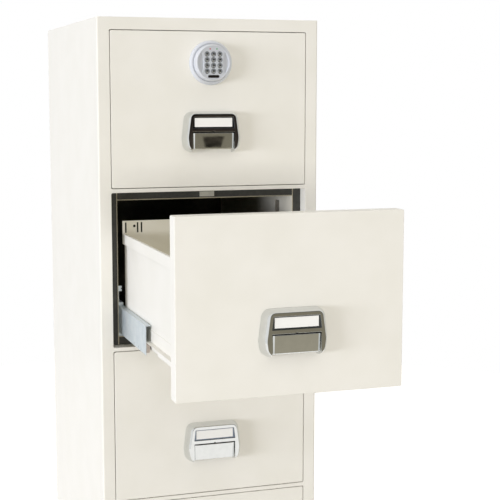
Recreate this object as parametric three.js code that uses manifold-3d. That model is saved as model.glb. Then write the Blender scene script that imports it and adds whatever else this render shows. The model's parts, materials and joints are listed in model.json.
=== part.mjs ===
// Fireproof filing cabinet with four insulated drawers on telescopic slides, in millimetres.
// X runs to the right, Y from the front to the back and Z up.
// The origin is on the floor, at the centre of the cabinet's underside.
// The second drawer stands open on its stops, and the other three are shut.

import * as THREE from 'three';
import { mergeVertices } from 'three/addons/utils/BufferGeometryUtils.js';
import Module from 'manifold-3d';

const wasm = await Module();
wasm.setup();

// Cabinet
const cabinetWidth = 530;
const cabinetDepth = 675;
const drawerCount = 4;
const openDrawer = 2;

// Gaps between neighbours
const fitGap = 0.3;
const revealGap = 1.5;
const slideClear = 0.5;

// How far welded shapes reach into each other, and how far a cut reaches past a face
const weld = 0.5;
const past = 1;

// Steel casing and its front frame
const casingSheet = 1.5;
const casingCornerRadius = 4;
const stileWidth = 29;
const topRailHeight = 28;
const bottomRailHeight = 28;
const railHeight = 9.1;
const openingHeight = 359.2;
const openingCornerRadius = 3;
const throatDepth = 34;
const panelFlange = 14;

// Fire lining behind the front frame
const sealThickness = 4;
const sealSideWidth = 18.7;
const sealEdgeHeight = 20;
const linerSheet = 2;
const rearWallDepth = 52.7;
const linerTabDepth = 26;

// Lock bar in the right wall, which shows through a slot in each liner
const barSlotFront = 93;
const barSlotWidth = 31;
const barSlotTopClear = 19;
const barSlotHeight = 240;
const barChannelDepth = 14;
const barThickness = 6;
const barWidth = 20;
const barNotchHeight = 18;
const barNotchDepth = 3;
const barTravel = 12;

// Strike plate on the seal above each drawer
const strikeWidth = 35;
const strikeHeight = 12;
const strikeDrop = 3.6;
const strikeDepth = 3.6;
const strikeGrooves = 6;
const strikeGrooveWidth = 1.6;
const strikeGrooveDepth = 0.9;

// Drawer head: steel pan, insulation and rear plate
const panSheet = 1.5;
const panCornerRadius = 3;
const panEdge = 1;
const headPlate = 1.5;
const latchPocketMargin = 3;
const latchPocketDepth = 8;

// Tray
const traySheet = 1.2;
const trayRearClear = 35.3;
const trayFloorClear = 18;
const trayRailTopClear = 77.5;
const trayRailDrop = 24;
const trayRailFold = 5;
const trayBackTopClear = 47.5;
const wireSlotWidth = 3.5;
const wireSlotHeight = 24;
const wireSlotDrop = 4;
const wireSlotInsets = [8, 36.1, 45.4];
const wireHoleInset = 28.2;
const wireHoleDiameter = 6.5;
const wireHoleDrop = 12.5;
const floorRibCount = 4;
const floorRibWidth = 16;
const floorRibHeight = 2.5;
const floorRibMargin = 40;

// Telescopic slide
const fixedSheet = 1.2;
const fixedSetback = 2;
const fixedRearClear = 24;
const fixedFlangeWidth = 10.3;
const fixedTopClear = 7.6;
const fixedLegHeight = 38.8;
const lugWidth = 7;
const lugHeight = 12.5;
const lugNotchDepth = 2.1;
const lugNotchHeight = 3.1;
const glideLength = 32;
const middleSheet = 1.5;
const middleHeight = 64;
const middleFlangeWidth = 12;
const middleSetback = 17;
const middleRearClear = 39;
const middleFloorClear = 7.6;
const rollerDiameter = 26;
const rollerWidth = 8.5;
const rollerRim = 4;
const rollerHubDepth = 1;
const rollerSetback = 21;
const rollerNotchClear = 3;
const axleDiameter = 7;
const lighteningHoleDiameter = 5;
const lighteningHoleOffsets = [69, 111];
const lighteningHoleRise = 6;
const stopPressSetback = 46;
const stopPressLength = 12;
const stopPressHeight = 8;
const stopPressRise = 4;
const stopPressDepth = 0.25;
const runnerSheet = 1.2;
const runnerLegHeight = 27.5;
const runnerLipHeight = 10.5;
const runnerLipRear = 230;
const rearRollerSetback = 36;
const openTrayRearDepth = 33;

// Handle casting, from the top edge of its foot on the drawer head
const handleDrop = 184.3;
const handleDepth = 27;
const handleHeight = 94.2;
const handleTopHalf = 62.5;
const handleWaistHalf = 70;
const handleWaistDrop = 60;
const handleBottomHalf = 66;
const handleTopRadius = 18;
const handleWaistRadius = 40;
const handleBottomRadius = 22;
const handleSideLean = 9.3;
const handleEdgeLean = 3.1;
const handleCornerLean = 6;
const handleLeanPower = 2.2;
const handleBackPlate = 4;
const cardRecessDepth = 2.5;
const cardRecessTopDrop = 12.4;
const cardRecessBottomDrop = 38.1;
const cardRecessMargin = 7.3;
const cardRecessRadius = 1.2;

// Pull flap that hangs in the handle
const flapPocketDrop = 46.1;
const flapPocketWall = 6.4;
const flapNotchRadius = 2.8;
const flapTopGap = 2.4;
const flapSideGap = 1;
const flapHeight = 37.8;
const flapThickness = 3.5;
const flapFaceSetback = 0.8;
const flapLean = 4;
const flapToeRadius = 2.5;
const flapLip = 8;
const flapLipThickness = 2;
const flapBarrelRadius = 4;
const flapAxleDepth = 4.6;
const flapPinDiameter = 4;
const flapPinLength = 4;

// Keypad lock on the top drawer
const lockDrop = 72.9;
const lockHeight = 28;
const lockBaseRadius = 51;
const lockBaseHeight = 9;
const lockBaseShoulder = 6.8;
const lockBaseEdge = 1.8;
const knobRadius = 43;
const knobGap = 0.5;
const knobSeatDepth = 3;
const knobFaceRadius = 39.5;
const knobRimWidth = 2;
const knobRimDrop = 1;
const spindleRadius = 7;
const spindleDepth = 6;
const scoopDepth = 4.5;
const scoopWaist = 22.5;
const scoopRadius = 62;
const buttonColumns = 3;
const buttonRows = 4;
const buttonColumnPitch = 15.3;
const buttonRowPitch = 12.9;
const buttonDiameter = 10.4;
const buttonHeight = 1.7;
const buttonDomeWidth = 2.6;
const buttonDomeHeight = 1.2;
const buttonTravel = 1.2;
const buttonWellDepth = 5;
const buttonWellGap = 0.4;

// Places that follow from the sizes above
const frontY = -cabinetDepth / 2;
const drawerPitch = openingHeight + railHeight;
const cabinetHeight = topRailHeight + bottomRailHeight + drawerCount * drawerPitch - railHeight;
const insideHalf = cabinetWidth / 2 - casingSheet;
const openingHalf = cabinetWidth / 2 - stileWidth;
const linerHalf = openingHalf - sealSideWidth;
const cavityHalf = linerHalf - linerSheet;
const cavityTop = -sealEdgeHeight;
const cavityFloor = sealEdgeHeight - openingHeight;
const liningFront = throatDepth + fitGap;
const cavityRear = cabinetDepth - rearWallDepth - linerSheet;
const headHalf = openingHalf - revealGap;
const headTop = -revealGap;
const headBottom = revealGap - openingHeight;
const headRear = throatDepth - fitGap;
const panDepth = headRear - headPlate - fitGap;
const trayRear = cavityRear - trayRearClear;
const drawerTravel = trayRear - openTrayRearDepth;
const slotTop = cavityTop - barSlotTopClear;
const slotBottom = slotTop - barSlotHeight;
const slotFront = liningFront + barSlotFront;

// The slide members lie beside each other from the liner wall inwards.
const fixedOuter = cavityHalf - fitGap;
const fixedInner = fixedOuter - fixedSheet;
const middleOuter = fixedInner - slideClear;
const middleInner = middleOuter - middleSheet;
const lipOuter = middleInner - slideClear;
const lipInner = lipOuter - runnerSheet;
const rollerOuter = lipInner - slideClear;
const rollerInner = rollerOuter - rollerWidth;
const legOuter = rollerInner - slideClear;
const trayHalf = legOuter - runnerSheet;
const trayRailHalf = trayHalf + trayRailFold;

// They lie above each other from the cavity floor upwards.
const fixedBottom = cavityFloor + fitGap;
const middleBottom = cavityFloor + middleFloorClear;
const middleTop = middleBottom + middleHeight;
const fixedFlangeBottom = middleTop + fixedTopClear;
const rollerCentre = middleBottom + fitGap + rollerDiameter / 2;
const runnerBottom = rollerCentre + rollerDiameter / 2 + fitGap;
const runnerTop = runnerBottom + runnerSheet;
const rearRollerCentre = middleTop - middleSheet - slideClear - rollerDiameter / 2;
const trayFloor = cavityFloor + trayFloorClear;
const trayRailTop = cavityTop - trayRailTopClear;
const trayBackTop = cavityTop - trayBackTopClear;

// The flap turns about its barrel, and the knob sits on a seat sunk in the lock's base.
const flapPocketHalf = handleBottomHalf - handleSideLean - flapPocketWall;
const flapAxleDrop = flapPocketDrop + flapTopGap + flapBarrelRadius;
const flapAxleY = flapAxleDepth - handleDepth;
const knobSeat = lockBaseHeight - knobSeatDepth;
const knobHeel = knobSeat + fitGap;
const panelHeight = lockHeight - knobRimDrop;

// Materials
function finish(color, roughness, metalness) {
  return new THREE.MeshStandardMaterial({ color, roughness, metalness, flatShading: true });
}

const creamPaint = finish(0xe8e5dc, 0.45, 0);
const linerPaint = finish(0xcfc8b4, 0.55, 0);
const darkSeal = finish(0x3a3936, 0.9, 0);
const castInsulation = finish(0xbdb7aa, 1, 0);
const zincPlate = finish(0xc5cfd3, 0.35, 0.8);
const chromePlate = finish(0xd9dcdd, 0.08, 1);
const satinSilver = finish(0xd3d4d6, 0.4, 0.3);

// Directions in which an outline drawn in X and Y of its own plane is laid and drawn out
const alongX = new THREE.Matrix4().makeBasis(
  new THREE.Vector3(0, 1, 0), new THREE.Vector3(0, 0, 1), new THREE.Vector3(1, 0, 0));
const towardFront = new THREE.Matrix4().makeBasis(
  new THREE.Vector3(1, 0, 0), new THREE.Vector3(0, 0, 1), new THREE.Vector3(0, -1, 0));
const outOfFace = new THREE.Matrix4().makeRotationX(Math.PI);

// A three.js geometry as a solid, with its shared corners merged
function toSolid(geometry, matrix) {
  const bare = geometry.clone();
  bare.deleteAttribute('normal');
  bare.deleteAttribute('uv');
  if (matrix) {
    bare.applyMatrix4(matrix);
  }
  const merged = mergeVertices(bare, 1e-4);
  const corners = merged.index.array;
  const triangles = [];
  for (let i = 0; i < corners.length; i += 3) {
    const [a, b, c] = [corners[i], corners[i + 1], corners[i + 2]];
    if (a !== b && b !== c && c !== a) {
      triangles.push(a, b, c);
    }
  }
  return new wasm.Manifold(new wasm.Mesh({
    numProp: 3,
    vertProperties: new Float32Array(merged.attributes.position.array),
    triVerts: new Uint32Array(triangles),
  }));
}

function toGeometry(body, flipped = false) {
  const { vertProperties, triVerts } = body.getMesh();
  const corners = Array.from(triVerts);
  if (flipped) {
    corners.reverse();
  }
  const geometry = new THREE.BufferGeometry();
  geometry.setAttribute('position', new THREE.BufferAttribute(new Float32Array(vertProperties), 3));
  geometry.setIndex(corners);
  return geometry;
}

// A solid put through a three.js matrix, with its faces kept outwards where the matrix mirrors it
function placed(body, matrix) {
  return toSolid(toGeometry(body, matrix.determinant() < 0), matrix);
}

function mirrored(body) {
  return placed(body, new THREE.Matrix4().makeScale(-1, 1, 1));
}

function moved(body, x, y, z) {
  return placed(body, new THREE.Matrix4().makeTranslation(x, y, z));
}

function union(first, ...others) {
  return others.reduce((whole, next) => whole.add(next), first);
}

function cut(first, ...others) {
  return others.reduce((whole, next) => whole.subtract(next), first);
}

function box(x0, x1, y0, y1, z0, z1) {
  const geometry = new THREE.BoxGeometry(x1 - x0, y1 - y0, z1 - z0);
  geometry.translate((x0 + x1) / 2, (y0 + y1) / 2, (z0 + z1) / 2);
  return toSolid(geometry);
}

// A profile in X and Z, drawn out from yFront to yRear
function alongDepth(points, yFront, yRear) {
  const place = new THREE.Matrix4().makeTranslation(0, yRear, 0).multiply(towardFront);
  const settings = { depth: yRear - yFront, bevelEnabled: false };
  return toSolid(new THREE.ExtrudeGeometry(new THREE.Shape(points), settings), place);
}

// A polygon whose corners are given as [x, z, radius], counter-clockwise, with its corners rounded
function roundedOutline(corners, steps) {
  const points = [];
  const count = corners.length;
  corners.forEach(([x, z, radius], i) => {
    const here = new THREE.Vector2(x, z);
    const [px, pz] = corners[(i + count - 1) % count];
    const [nx, nz] = corners[(i + 1) % count];
    const toPrevious = new THREE.Vector2(px, pz).sub(here).normalize();
    const toNext = new THREE.Vector2(nx, nz).sub(here).normalize();
    const halfAngle = Math.acos(toPrevious.dot(toNext)) / 2;
    const bisector = toPrevious.clone().add(toNext).normalize();
    const centre = here.clone().addScaledVector(bisector, radius / Math.sin(halfAngle));
    const start = here.clone().addScaledVector(toPrevious, radius / Math.tan(halfAngle)).sub(centre);
    const sweep = Math.PI - 2 * halfAngle;
    for (let step = 0; step <= steps; step += 1) {
      const point = start.clone().rotateAround(new THREE.Vector2(0, 0), (sweep * step) / steps);
      points.push(point.add(centre));
    }
  });
  return points;
}

function roundedRectangle(x0, x1, z0, z1, radius, steps) {
  const corners = [[x0, z0, radius], [x1, z0, radius], [x1, z1, radius], [x0, z1, radius]];
  return roundedOutline(corners, steps);
}

// A turned piece whose profile [radius, height] runs from the axis round to the axis again,
// standing out of the plane y = 0 towards the front
function turned(profile, segments, x, z) {
  const points = profile.map(([radius, height]) => new THREE.Vector2(radius, height));
  const place = new THREE.Matrix4().makeTranslation(x, 0, z).multiply(outOfFace);
  return toSolid(new THREE.LatheGeometry(points, segments), place);
}

function disc(radius, height0, height1, segments, x, z) {
  return turned([[0, height0], [radius, height0], [radius, height1], [0, height1]], segments, x, z);
}

// The rounded edge of a turned profile, a quarter ellipse from its outside to its top
function edgeArc(radius, height, acrossRun, upRun, steps) {
  const points = [];
  for (let step = 0; step <= steps; step += 1) {
    const angle = (step / steps) * (Math.PI / 2);
    points.push([radius - acrossRun * (1 - Math.cos(angle)), height - upRun * (1 - Math.sin(angle))]);
  }
  return points;
}

// A cylinder whose axis runs along X
function crossPin(diameter, x0, x1, y, z, segments) {
  const geometry = new THREE.CylinderGeometry(diameter / 2, diameter / 2, x1 - x0, segments);
  geometry.rotateZ(Math.PI / 2);
  geometry.translate((x0 + x1) / 2, y, z);
  return toSolid(geometry);
}

// A skin through outlines of equal point count, each at its own y, closed by a fan at both ends
function loft(sections) {
  const positions = [];
  const index = [];
  const count = sections[0].outline.length;
  sections.forEach(({ outline, y }) => {
    outline.forEach((point) => positions.push(point.x, y, point.y));
  });
  for (let ring = 0; ring < sections.length - 1; ring += 1) {
    for (let i = 0; i < count; i += 1) {
      const a = ring * count + i;
      const b = ring * count + ((i + 1) % count);
      index.push(a, b, b + count, a, b + count, a + count);
    }
  }
  const addCap = (ring, facing) => {
    const { outline, y } = sections[ring];
    const middle = outline.reduce((sum, point) => sum.add(point), new THREE.Vector2()).divideScalar(count);
    const centre = positions.length / 3;
    positions.push(middle.x, y, middle.y);
    for (let i = 0; i < count; i += 1) {
      const a = ring * count + i;
      const b = ring * count + ((i + 1) % count);
      index.push(centre, facing > 0 ? a : b, facing > 0 ? b : a);
    }
  };
  addCap(0, -1);
  addCap(sections.length - 1, 1);
  const geometry = new THREE.BufferGeometry();
  geometry.setAttribute('position', new THREE.Float32BufferAttribute(positions, 3));
  geometry.setIndex(index);
  return toSolid(geometry);
}

function addPiece(parent, name, body, material) {
  const geometry = toGeometry(body);
  geometry.computeVertexNormals();
  const mesh = new THREE.Mesh(geometry, material);
  mesh.name = name;
  parent.add(mesh);
}

const drawers = Array.from({ length: drawerCount }, (_, i) => i + 1);

// Height of the top edge of each drawer's opening above the floor
function openingTop(drawer) {
  return cabinetHeight - topRailHeight - (drawer - 1) * drawerPitch;
}

// Puts a bay's shape, drawn with y = 0 on the front and z = 0 at the top of the opening,
// at the place of every drawer
function atEveryBay(shape) {
  return drawers.map((drawer) => moved(shape, 0, frontY, openingTop(drawer)));
}

// Outer casing: sides, top and front frame bent from one sheet, with a return round each opening
function makeCasing() {
  const half = cabinetWidth / 2;
  const corner = casingCornerRadius;
  const plan = new THREE.Shape();
  plan.moveTo(half, -frontY);
  plan.lineTo(-half, -frontY);
  plan.lineTo(-half, frontY + corner);
  plan.absarc(corner - half, frontY + corner, corner, Math.PI, 1.5 * Math.PI);
  plan.lineTo(half - corner, frontY);
  plan.absarc(half - corner, frontY + corner, corner, 1.5 * Math.PI, 2 * Math.PI);
  const settings = { depth: cabinetHeight, bevelEnabled: false, curveSegments: 5 };
  const outer = toSolid(new THREE.ExtrudeGeometry(plan, settings));
  const inner = box(-insideHalf, insideHalf, frontY + casingSheet, past - frontY,
    -past, cabinetHeight - casingSheet);
  const opening = roundedRectangle(-openingHalf, openingHalf, -openingHeight, 0, openingCornerRadius, 2);
  const returnOuter = roundedRectangle(-openingHalf - casingSheet, openingHalf + casingSheet,
    -openingHeight - casingSheet, casingSheet, openingCornerRadius + casingSheet, 2);
  const returns = atEveryBay(alongDepth(returnOuter, casingSheet / 2, throatDepth));
  const openings = atEveryBay(alongDepth(opening, -past, throatDepth + past));
  return cut(union(cut(outer, inner), ...returns), ...openings);
}

// Back panel: a sheet with a flange turned in along all four edges
function makeBackPanel() {
  const half = insideHalf - fitGap;
  const rear = -frontY;
  const bottom = casingSheet + fitGap;
  const top = cabinetHeight - casingSheet - fitGap;
  const inner = half - casingSheet;
  const hollow = box(-inner, inner, rear - panelFlange - past, rear - casingSheet,
    bottom + casingSheet, top - casingSheet);
  return cut(box(-half, half, rear - panelFlange, rear, bottom, top), hollow);
}

// Base pan: a shallow tray under the insulation, with a tongue under the back panel
function makeBasePan() {
  const half = insideHalf - fitGap;
  const front = frontY + casingSheet + fitGap;
  const lip = -frontY - panelFlange - fitGap;
  const inner = half - casingSheet;
  const hollow = box(-inner, inner, front + casingSheet, lip - casingSheet, casingSheet, panelFlange + past);
  const tongue = box(-half, half, lip - casingSheet, -frontY, 0, casingSheet);
  return cut(box(-half, half, front, lip, 0, panelFlange), hollow).add(tongue);
}

function linerOutline(grow) {
  return box(-linerHalf - grow, linerHalf + grow, liningFront, cavityRear + linerSheet + grow,
    cavityFloor - linerSheet - grow, cavityTop + linerSheet + grow);
}

// The liner's side plates reach up and down past the cavity at the mouth.
function linerTabs(grow, depth) {
  const top = grow - fitGap;
  const bottom = fitGap - openingHeight - grow;
  const left = box(-linerHalf - grow, grow - cavityHalf, liningFront, liningFront + depth, bottom, top);
  return left.add(mirrored(left));
}

// Cream sheet liner of one bay, with a slot in its right wall that opens to the lock bar
function makeLiner() {
  const hollow = box(-cavityHalf, cavityHalf, liningFront - past, cavityRear, cavityFloor, cavityTop);
  const slot = box(cavityHalf - past, linerHalf + past, slotFront, slotFront + barSlotWidth,
    slotBottom, slotTop);
  return cut(linerOutline(0).add(linerTabs(0, linerTabDepth)), hollow, slot);
}

// Channel in the right wall for the lock bar, open to every liner through its slot
function barChannel() {
  const front = frontY + slotFront;
  return box(linerHalf, linerHalf + barChannelDepth, front, front + barSlotWidth,
    openingTop(drawerCount) + slotBottom, openingTop(1) + slotTop);
}

// Lock bar: a flat that stands on the channel's floor, with a notch for each drawer's catch
function makeLockBar() {
  const outer = linerHalf + barChannelDepth - fitGap;
  const inner = outer - barThickness;
  const front = frontY + slotFront + (barSlotWidth - barWidth) / 2;
  const rear = front + barWidth;
  const foot = openingTop(drawerCount) + slotBottom + fitGap;
  const top = openingTop(1) + slotTop - barTravel - fitGap;
  const notchMiddle = (slotTop + slotBottom) / 2;
  const notches = drawers.map((drawer) => {
    const middle = openingTop(drawer) + notchMiddle;
    return box(inner - past, inner + barNotchDepth, front - past, rear + past,
      middle - barNotchHeight / 2, middle + barNotchHeight / 2);
  });
  return cut(box(inner, outer, front, rear, foot, top), ...notches);
}

// Cast insulation that fills the walls between the casing and the four liners
function makeInsulation() {
  const half = insideHalf - fitGap;
  const narrow = half - casingSheet - fitGap;
  const front = frontY + liningFront + sealThickness + fitGap;
  const rear = -frontY - casingSheet - fitGap;
  const flangeRear = rear - panelFlange - fitGap;
  const bottom = casingSheet + fitGap;
  const top = cabinetHeight - casingSheet - fitGap;
  const flangeTop = panelFlange + fitGap;
  const block = union(
    box(-half, half, front, flangeRear, flangeTop, top),
    box(-narrow, narrow, front, rear, flangeTop, top - casingSheet - fitGap),
    box(-narrow, narrow, front, flangeRear, bottom, flangeTop + weld));
  const bays = atEveryBay(linerOutline(fitGap).add(linerTabs(fitGap, linerTabDepth + fitGap)));
  return cut(block, ...bays, barChannel());
}

// Grooved plate that the latch of each drawer catches on
function makeStrike() {
  const half = strikeWidth / 2;
  const front = liningFront - strikeDepth;
  const bottom = -strikeDrop - strikeHeight;
  const groovePitch = strikeWidth / strikeGrooves;
  const grooves = Array.from({ length: strikeGrooves }, (_, i) => {
    const x = (i + 0.5) * groovePitch - half;
    return box(x - strikeGrooveWidth / 2, x + strikeGrooveWidth / 2, front - past, front + strikeGrooveDepth,
      bottom - past, past - strikeDrop);
  });
  return cut(box(-half, half, front, liningFront + weld, bottom, -strikeDrop), ...grooves);
}

// Dark seal plate that the drawer heads shut against, with a strike over each drawer
function makeSealFrame() {
  const half = insideHalf - fitGap;
  const front = frontY + liningFront;
  const top = cabinetHeight - casingSheet - fitGap;
  const plate = box(-half, half, front, front + sealThickness, panelFlange + fitGap, top);
  const mouth = linerOutline(fitGap).add(linerTabs(fitGap, sealThickness + 2 * past));
  return union(cut(plate, ...atEveryBay(moved(mouth, 0, -past, 0))), ...atEveryBay(makeStrike()));
}

// Channel screwed to the liner's right wall: web, two flanges, a front lug and two nylon glides
function makeFixedSlide() {
  const front = liningFront + fixedSetback;
  const rear = cavityRear - fixedRearClear;
  const flangeInner = fixedInner - fixedFlangeWidth;
  const webTop = fixedFlangeBottom + fixedSheet + fixedLegHeight;
  const root = fixedInner + weld;
  const lugInner = fixedInner - lugWidth;
  const lugMiddle = webTop - lugHeight / 2;
  const glideRear = front + glideLength;
  const lug = box(lugInner, root, front, front + fixedSheet, webTop - lugHeight, webTop);
  const lugNotch = box(lugInner - past, lugInner + lugNotchDepth, front - past, front + fixedSheet + past,
    lugMiddle - lugNotchHeight / 2, lugMiddle + lugNotchHeight / 2);
  return union(
    box(fixedInner, fixedOuter, front, rear, fixedBottom, webTop),
    box(flangeInner, root, front, rear, fixedFlangeBottom, fixedFlangeBottom + fixedSheet),
    box(flangeInner, root, front, rear, fixedBottom, fixedBottom + fixedSheet),
    box(flangeInner, root, front, glideRear, fixedBottom + fixedSheet / 2, middleBottom - fitGap),
    box(flangeInner, root, front, glideRear, middleTop + fitGap, fixedFlangeBottom + fixedSheet / 2),
    cut(lug, lugNotch));
}

// Telescoping channel on the right, with a nylon roller on an axle where its lower flange is cut away
function makeMiddleSlide() {
  const front = liningFront + middleSetback;
  const rear = cavityRear - middleRearClear;
  const flangeInner = middleOuter - middleFlangeWidth;
  const section = [
    [flangeInner, middleBottom],
    [middleOuter, middleBottom],
    [middleOuter, middleTop],
    [flangeInner, middleTop],
    [flangeInner, middleTop - middleSheet],
    [middleInner, middleTop - middleSheet],
    [middleInner, middleBottom + middleSheet],
    [flangeInner, middleBottom + middleSheet],
  ].map(([x, z]) => new THREE.Vector2(x, z));
  const holes = lighteningHoleOffsets.map((offset) => crossPin(lighteningHoleDiameter, middleInner - past,
    middleOuter + past, front + offset, middleBottom + lighteningHoleRise, 8));
  const rollerY = front + rollerSetback;
  const tyre = crossPin(rollerDiameter, rollerInner, rollerOuter, rollerY, rollerCentre, 16);
  const hub = crossPin(rollerDiameter - 2 * rollerRim, rollerInner - past, rollerInner + rollerHubDepth,
    rollerY, rollerCentre, 12);
  const notch = box(flangeInner - past, middleInner, front - past,
    rollerY + rollerDiameter / 2 + rollerNotchClear, middleBottom - past, middleBottom + middleSheet + past);
  const stopFront = front + stopPressSetback;
  const stopBottom = rollerCentre + stopPressRise;
  return union(
    cut(alongDepth(section, front, rear), notch, ...holes),
    cut(tyre, hub),
    crossPin(axleDiameter, rollerInner + weld, middleInner + weld, rollerY, rollerCentre, 10),
    box(middleInner - stopPressDepth, middleInner + weld, stopFront, stopFront + stopPressLength,
      stopBottom, stopBottom + stopPressHeight));
}

// Runner welded to the tray's right wall: leg, flange that rides on the roller, front lip, and a rear roller
function makeRunner() {
  const front = headRear - headPlate / 2;
  const root = trayHalf - traySheet / 2;
  const rollerY = trayRear - rearRollerSetback;
  return union(
    box(root, legOuter, front, trayRear, runnerBottom, runnerBottom + runnerLegHeight),
    box(legOuter - weld, lipOuter, front, trayRear, runnerBottom, runnerTop),
    box(lipInner, lipOuter, front, runnerLipRear, runnerTop - runnerLipHeight, runnerTop),
    crossPin(rollerDiameter, rollerInner, rollerOuter, rollerY, rearRollerCentre, 14),
    crossPin(axleDiameter, root, rollerInner + weld, rollerY, rearRollerCentre, 10));
}

// Side wall of the tray, on the right, with its top edge folded over outwards to carry file hangers
function makeTraySide() {
  const front = headRear - headPlate / 2;
  const inner = trayHalf - traySheet;
  const railBottom = trayRailTop - trayRailDrop;
  return union(
    box(inner, trayHalf, front, trayRear, trayFloor, trayRailTop),
    box(inner, trayRailHalf, front, trayRear, trayRailTop - traySheet, trayRailTop),
    box(trayRailHalf - traySheet, trayRailHalf, front, trayRear, railBottom, trayRailTop));
}

// Rear wall, wider and higher than the side walls at its top, with slots and a hole for divider wires
function makeTrayBack() {
  const shoulder = trayRailTop - trayRailDrop;
  const front = trayRear - traySheet;
  const back = union(
    box(-trayRailHalf, trayRailHalf, front, trayRear, shoulder, trayBackTop),
    box(-trayHalf, trayHalf, front, trayRear, trayFloor, shoulder + weld));
  const wireSlotTop = trayBackTop - wireSlotDrop;
  const openings = wireSlotInsets.map((inset) => {
    const x = trayRailHalf - inset;
    return box(x - wireSlotWidth / 2, x + wireSlotWidth / 2, front - past, trayRear + past,
      wireSlotTop - wireSlotHeight, wireSlotTop);
  });
  openings.push(disc(wireHoleDiameter / 2, -trayRear - past, past - front, 8,
    trayRailHalf - wireHoleInset, trayBackTop - wireHoleDrop));
  return cut(back, ...openings, ...openings.map(mirrored));
}

// Room for a drawer's latch behind the head's top edge
function latchPocket(yFront, yRear) {
  const half = strikeWidth / 2 + latchPocketMargin;
  const bottom = -strikeDrop - strikeHeight - latchPocketMargin;
  return box(-half, half, yFront, yRear, bottom, headTop - panSheet - fitGap / 2);
}

// Whole tray: head plate with a latch pocket, walls, ribbed floor and runners, welded together
function makeTray() {
  const plateFront = headRear - headPlate;
  const plateOutline = roundedRectangle(-headHalf, headHalf, headBottom, headTop, panCornerRadius, 2);
  const pocket = latchPocket(plateFront - past, headRear + past);
  const plate = cut(alongDepth(plateOutline, plateFront, headRear), pocket);
  const floorTop = trayFloor + traySheet;
  const floor = box(-trayHalf, trayHalf, plateFront + headPlate / 2, trayRear, trayFloor, floorTop);
  const ribHalf = trayHalf - floorRibMargin;
  const ribPitch = (trayRear - headRear - 2 * floorRibMargin) / (floorRibCount - 1);
  const ribs = Array.from({ length: floorRibCount }, (_, i) => {
    const y = headRear + floorRibMargin + i * ribPitch;
    return box(-ribHalf, ribHalf, y - floorRibWidth / 2, y + floorRibWidth / 2,
      trayFloor + traySheet / 2, floorTop + floorRibHeight);
  });
  const side = makeTraySide().add(makeRunner());
  return union(plate, floor, makeTrayBack(), side, mirrored(side), ...ribs);
}

// Painted pan that forms the drawer's face and edges
function makeFrontPan() {
  const faceOutline = (inset) => roundedRectangle(inset - headHalf, headHalf - inset,
    headBottom + inset, headTop - inset, panCornerRadius - inset / 2, 2);
  const outer = loft([
    { outline: faceOutline(0), y: panDepth },
    { outline: faceOutline(0), y: panEdge },
    { outline: faceOutline(panEdge * 0.3), y: panEdge * 0.3 },
    { outline: faceOutline(panEdge), y: 0 },
  ]);
  const hollow = box(panSheet - headHalf, headHalf - panSheet, panSheet, panDepth + past,
    headBottom + panSheet, headTop - panSheet);
  return cut(outer, hollow);
}

// Insulation cast into the pan, with room for the latch at its top
function makeHeadInsulation() {
  const inset = panSheet + fitGap;
  const block = box(inset - headHalf, headHalf - inset, inset, panDepth,
    headBottom + inset, headTop - inset);
  return cut(block, latchPocket(panDepth - latchPocketDepth, panDepth + past));
}

// Outline of the handle, from its foot at lean 0 to its face at lean 1
function handleOutline(lean, steps) {
  const side = handleSideLean * lean;
  const edge = handleEdgeLean * lean;
  const tighten = handleCornerLean * lean;
  const bottomZ = edge - handleHeight;
  const rightSide = [
    [handleBottomHalf - side, bottomZ, handleBottomRadius - tighten],
    [handleWaistHalf - side, -handleWaistDrop, handleWaistRadius],
    [handleTopHalf - side, -edge, handleTopRadius - tighten],
  ];
  const leftSide = rightSide.map(([x, z, radius]) => [-x, z, radius]).reverse();
  return roundedOutline([...rightSide, ...leftSide], steps);
}

// Half width of the handle's face at a drop between its top edge and its widest place
function faceHalfAt(drop) {
  return handleTopHalf - handleSideLean + (handleWaistHalf - handleTopHalf) * (drop / handleWaistDrop);
}

// Chromed handle casting: a hood that leans in towards its face, with a card recess and a flap pocket
function makeHandle() {
  const body = loft([0, 0.45, 0.72, 0.9, 1].map((share) => (
    { outline: handleOutline(share ** handleLeanPower, 3), y: -fitGap - (handleDepth - fitGap) * share })));
  const cardTopHalf = faceHalfAt(cardRecessTopDrop) - cardRecessMargin;
  const cardBottomHalf = faceHalfAt(cardRecessBottomDrop) - cardRecessMargin;
  const card = roundedOutline([
    [-cardBottomHalf, -cardRecessBottomDrop, cardRecessRadius],
    [cardBottomHalf, -cardRecessBottomDrop, cardRecessRadius],
    [cardTopHalf, -cardRecessTopDrop, cardRecessRadius],
    [-cardTopHalf, -cardRecessTopDrop, cardRecessRadius],
  ], 2);
  const pinHalf = flapPocketHalf + flapPinLength;
  const opened = cut(body,
    alongDepth(card, -handleDepth - past, cardRecessDepth - handleDepth),
    box(-flapPocketHalf, flapPocketHalf, -handleDepth - past, -handleBackPlate,
      -handleHeight - past, -flapPocketDrop),
    disc(flapNotchRadius, handleBackPlate, handleDepth + past, 12, 0, -flapPocketDrop),
    crossPin(flapPinDiameter + 2 * fitGap, -pinHalf, pinHalf, flapAxleY, -flapAxleDrop, 12));
  return moved(opened, 0, 0, -handleDrop);
}

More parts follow.
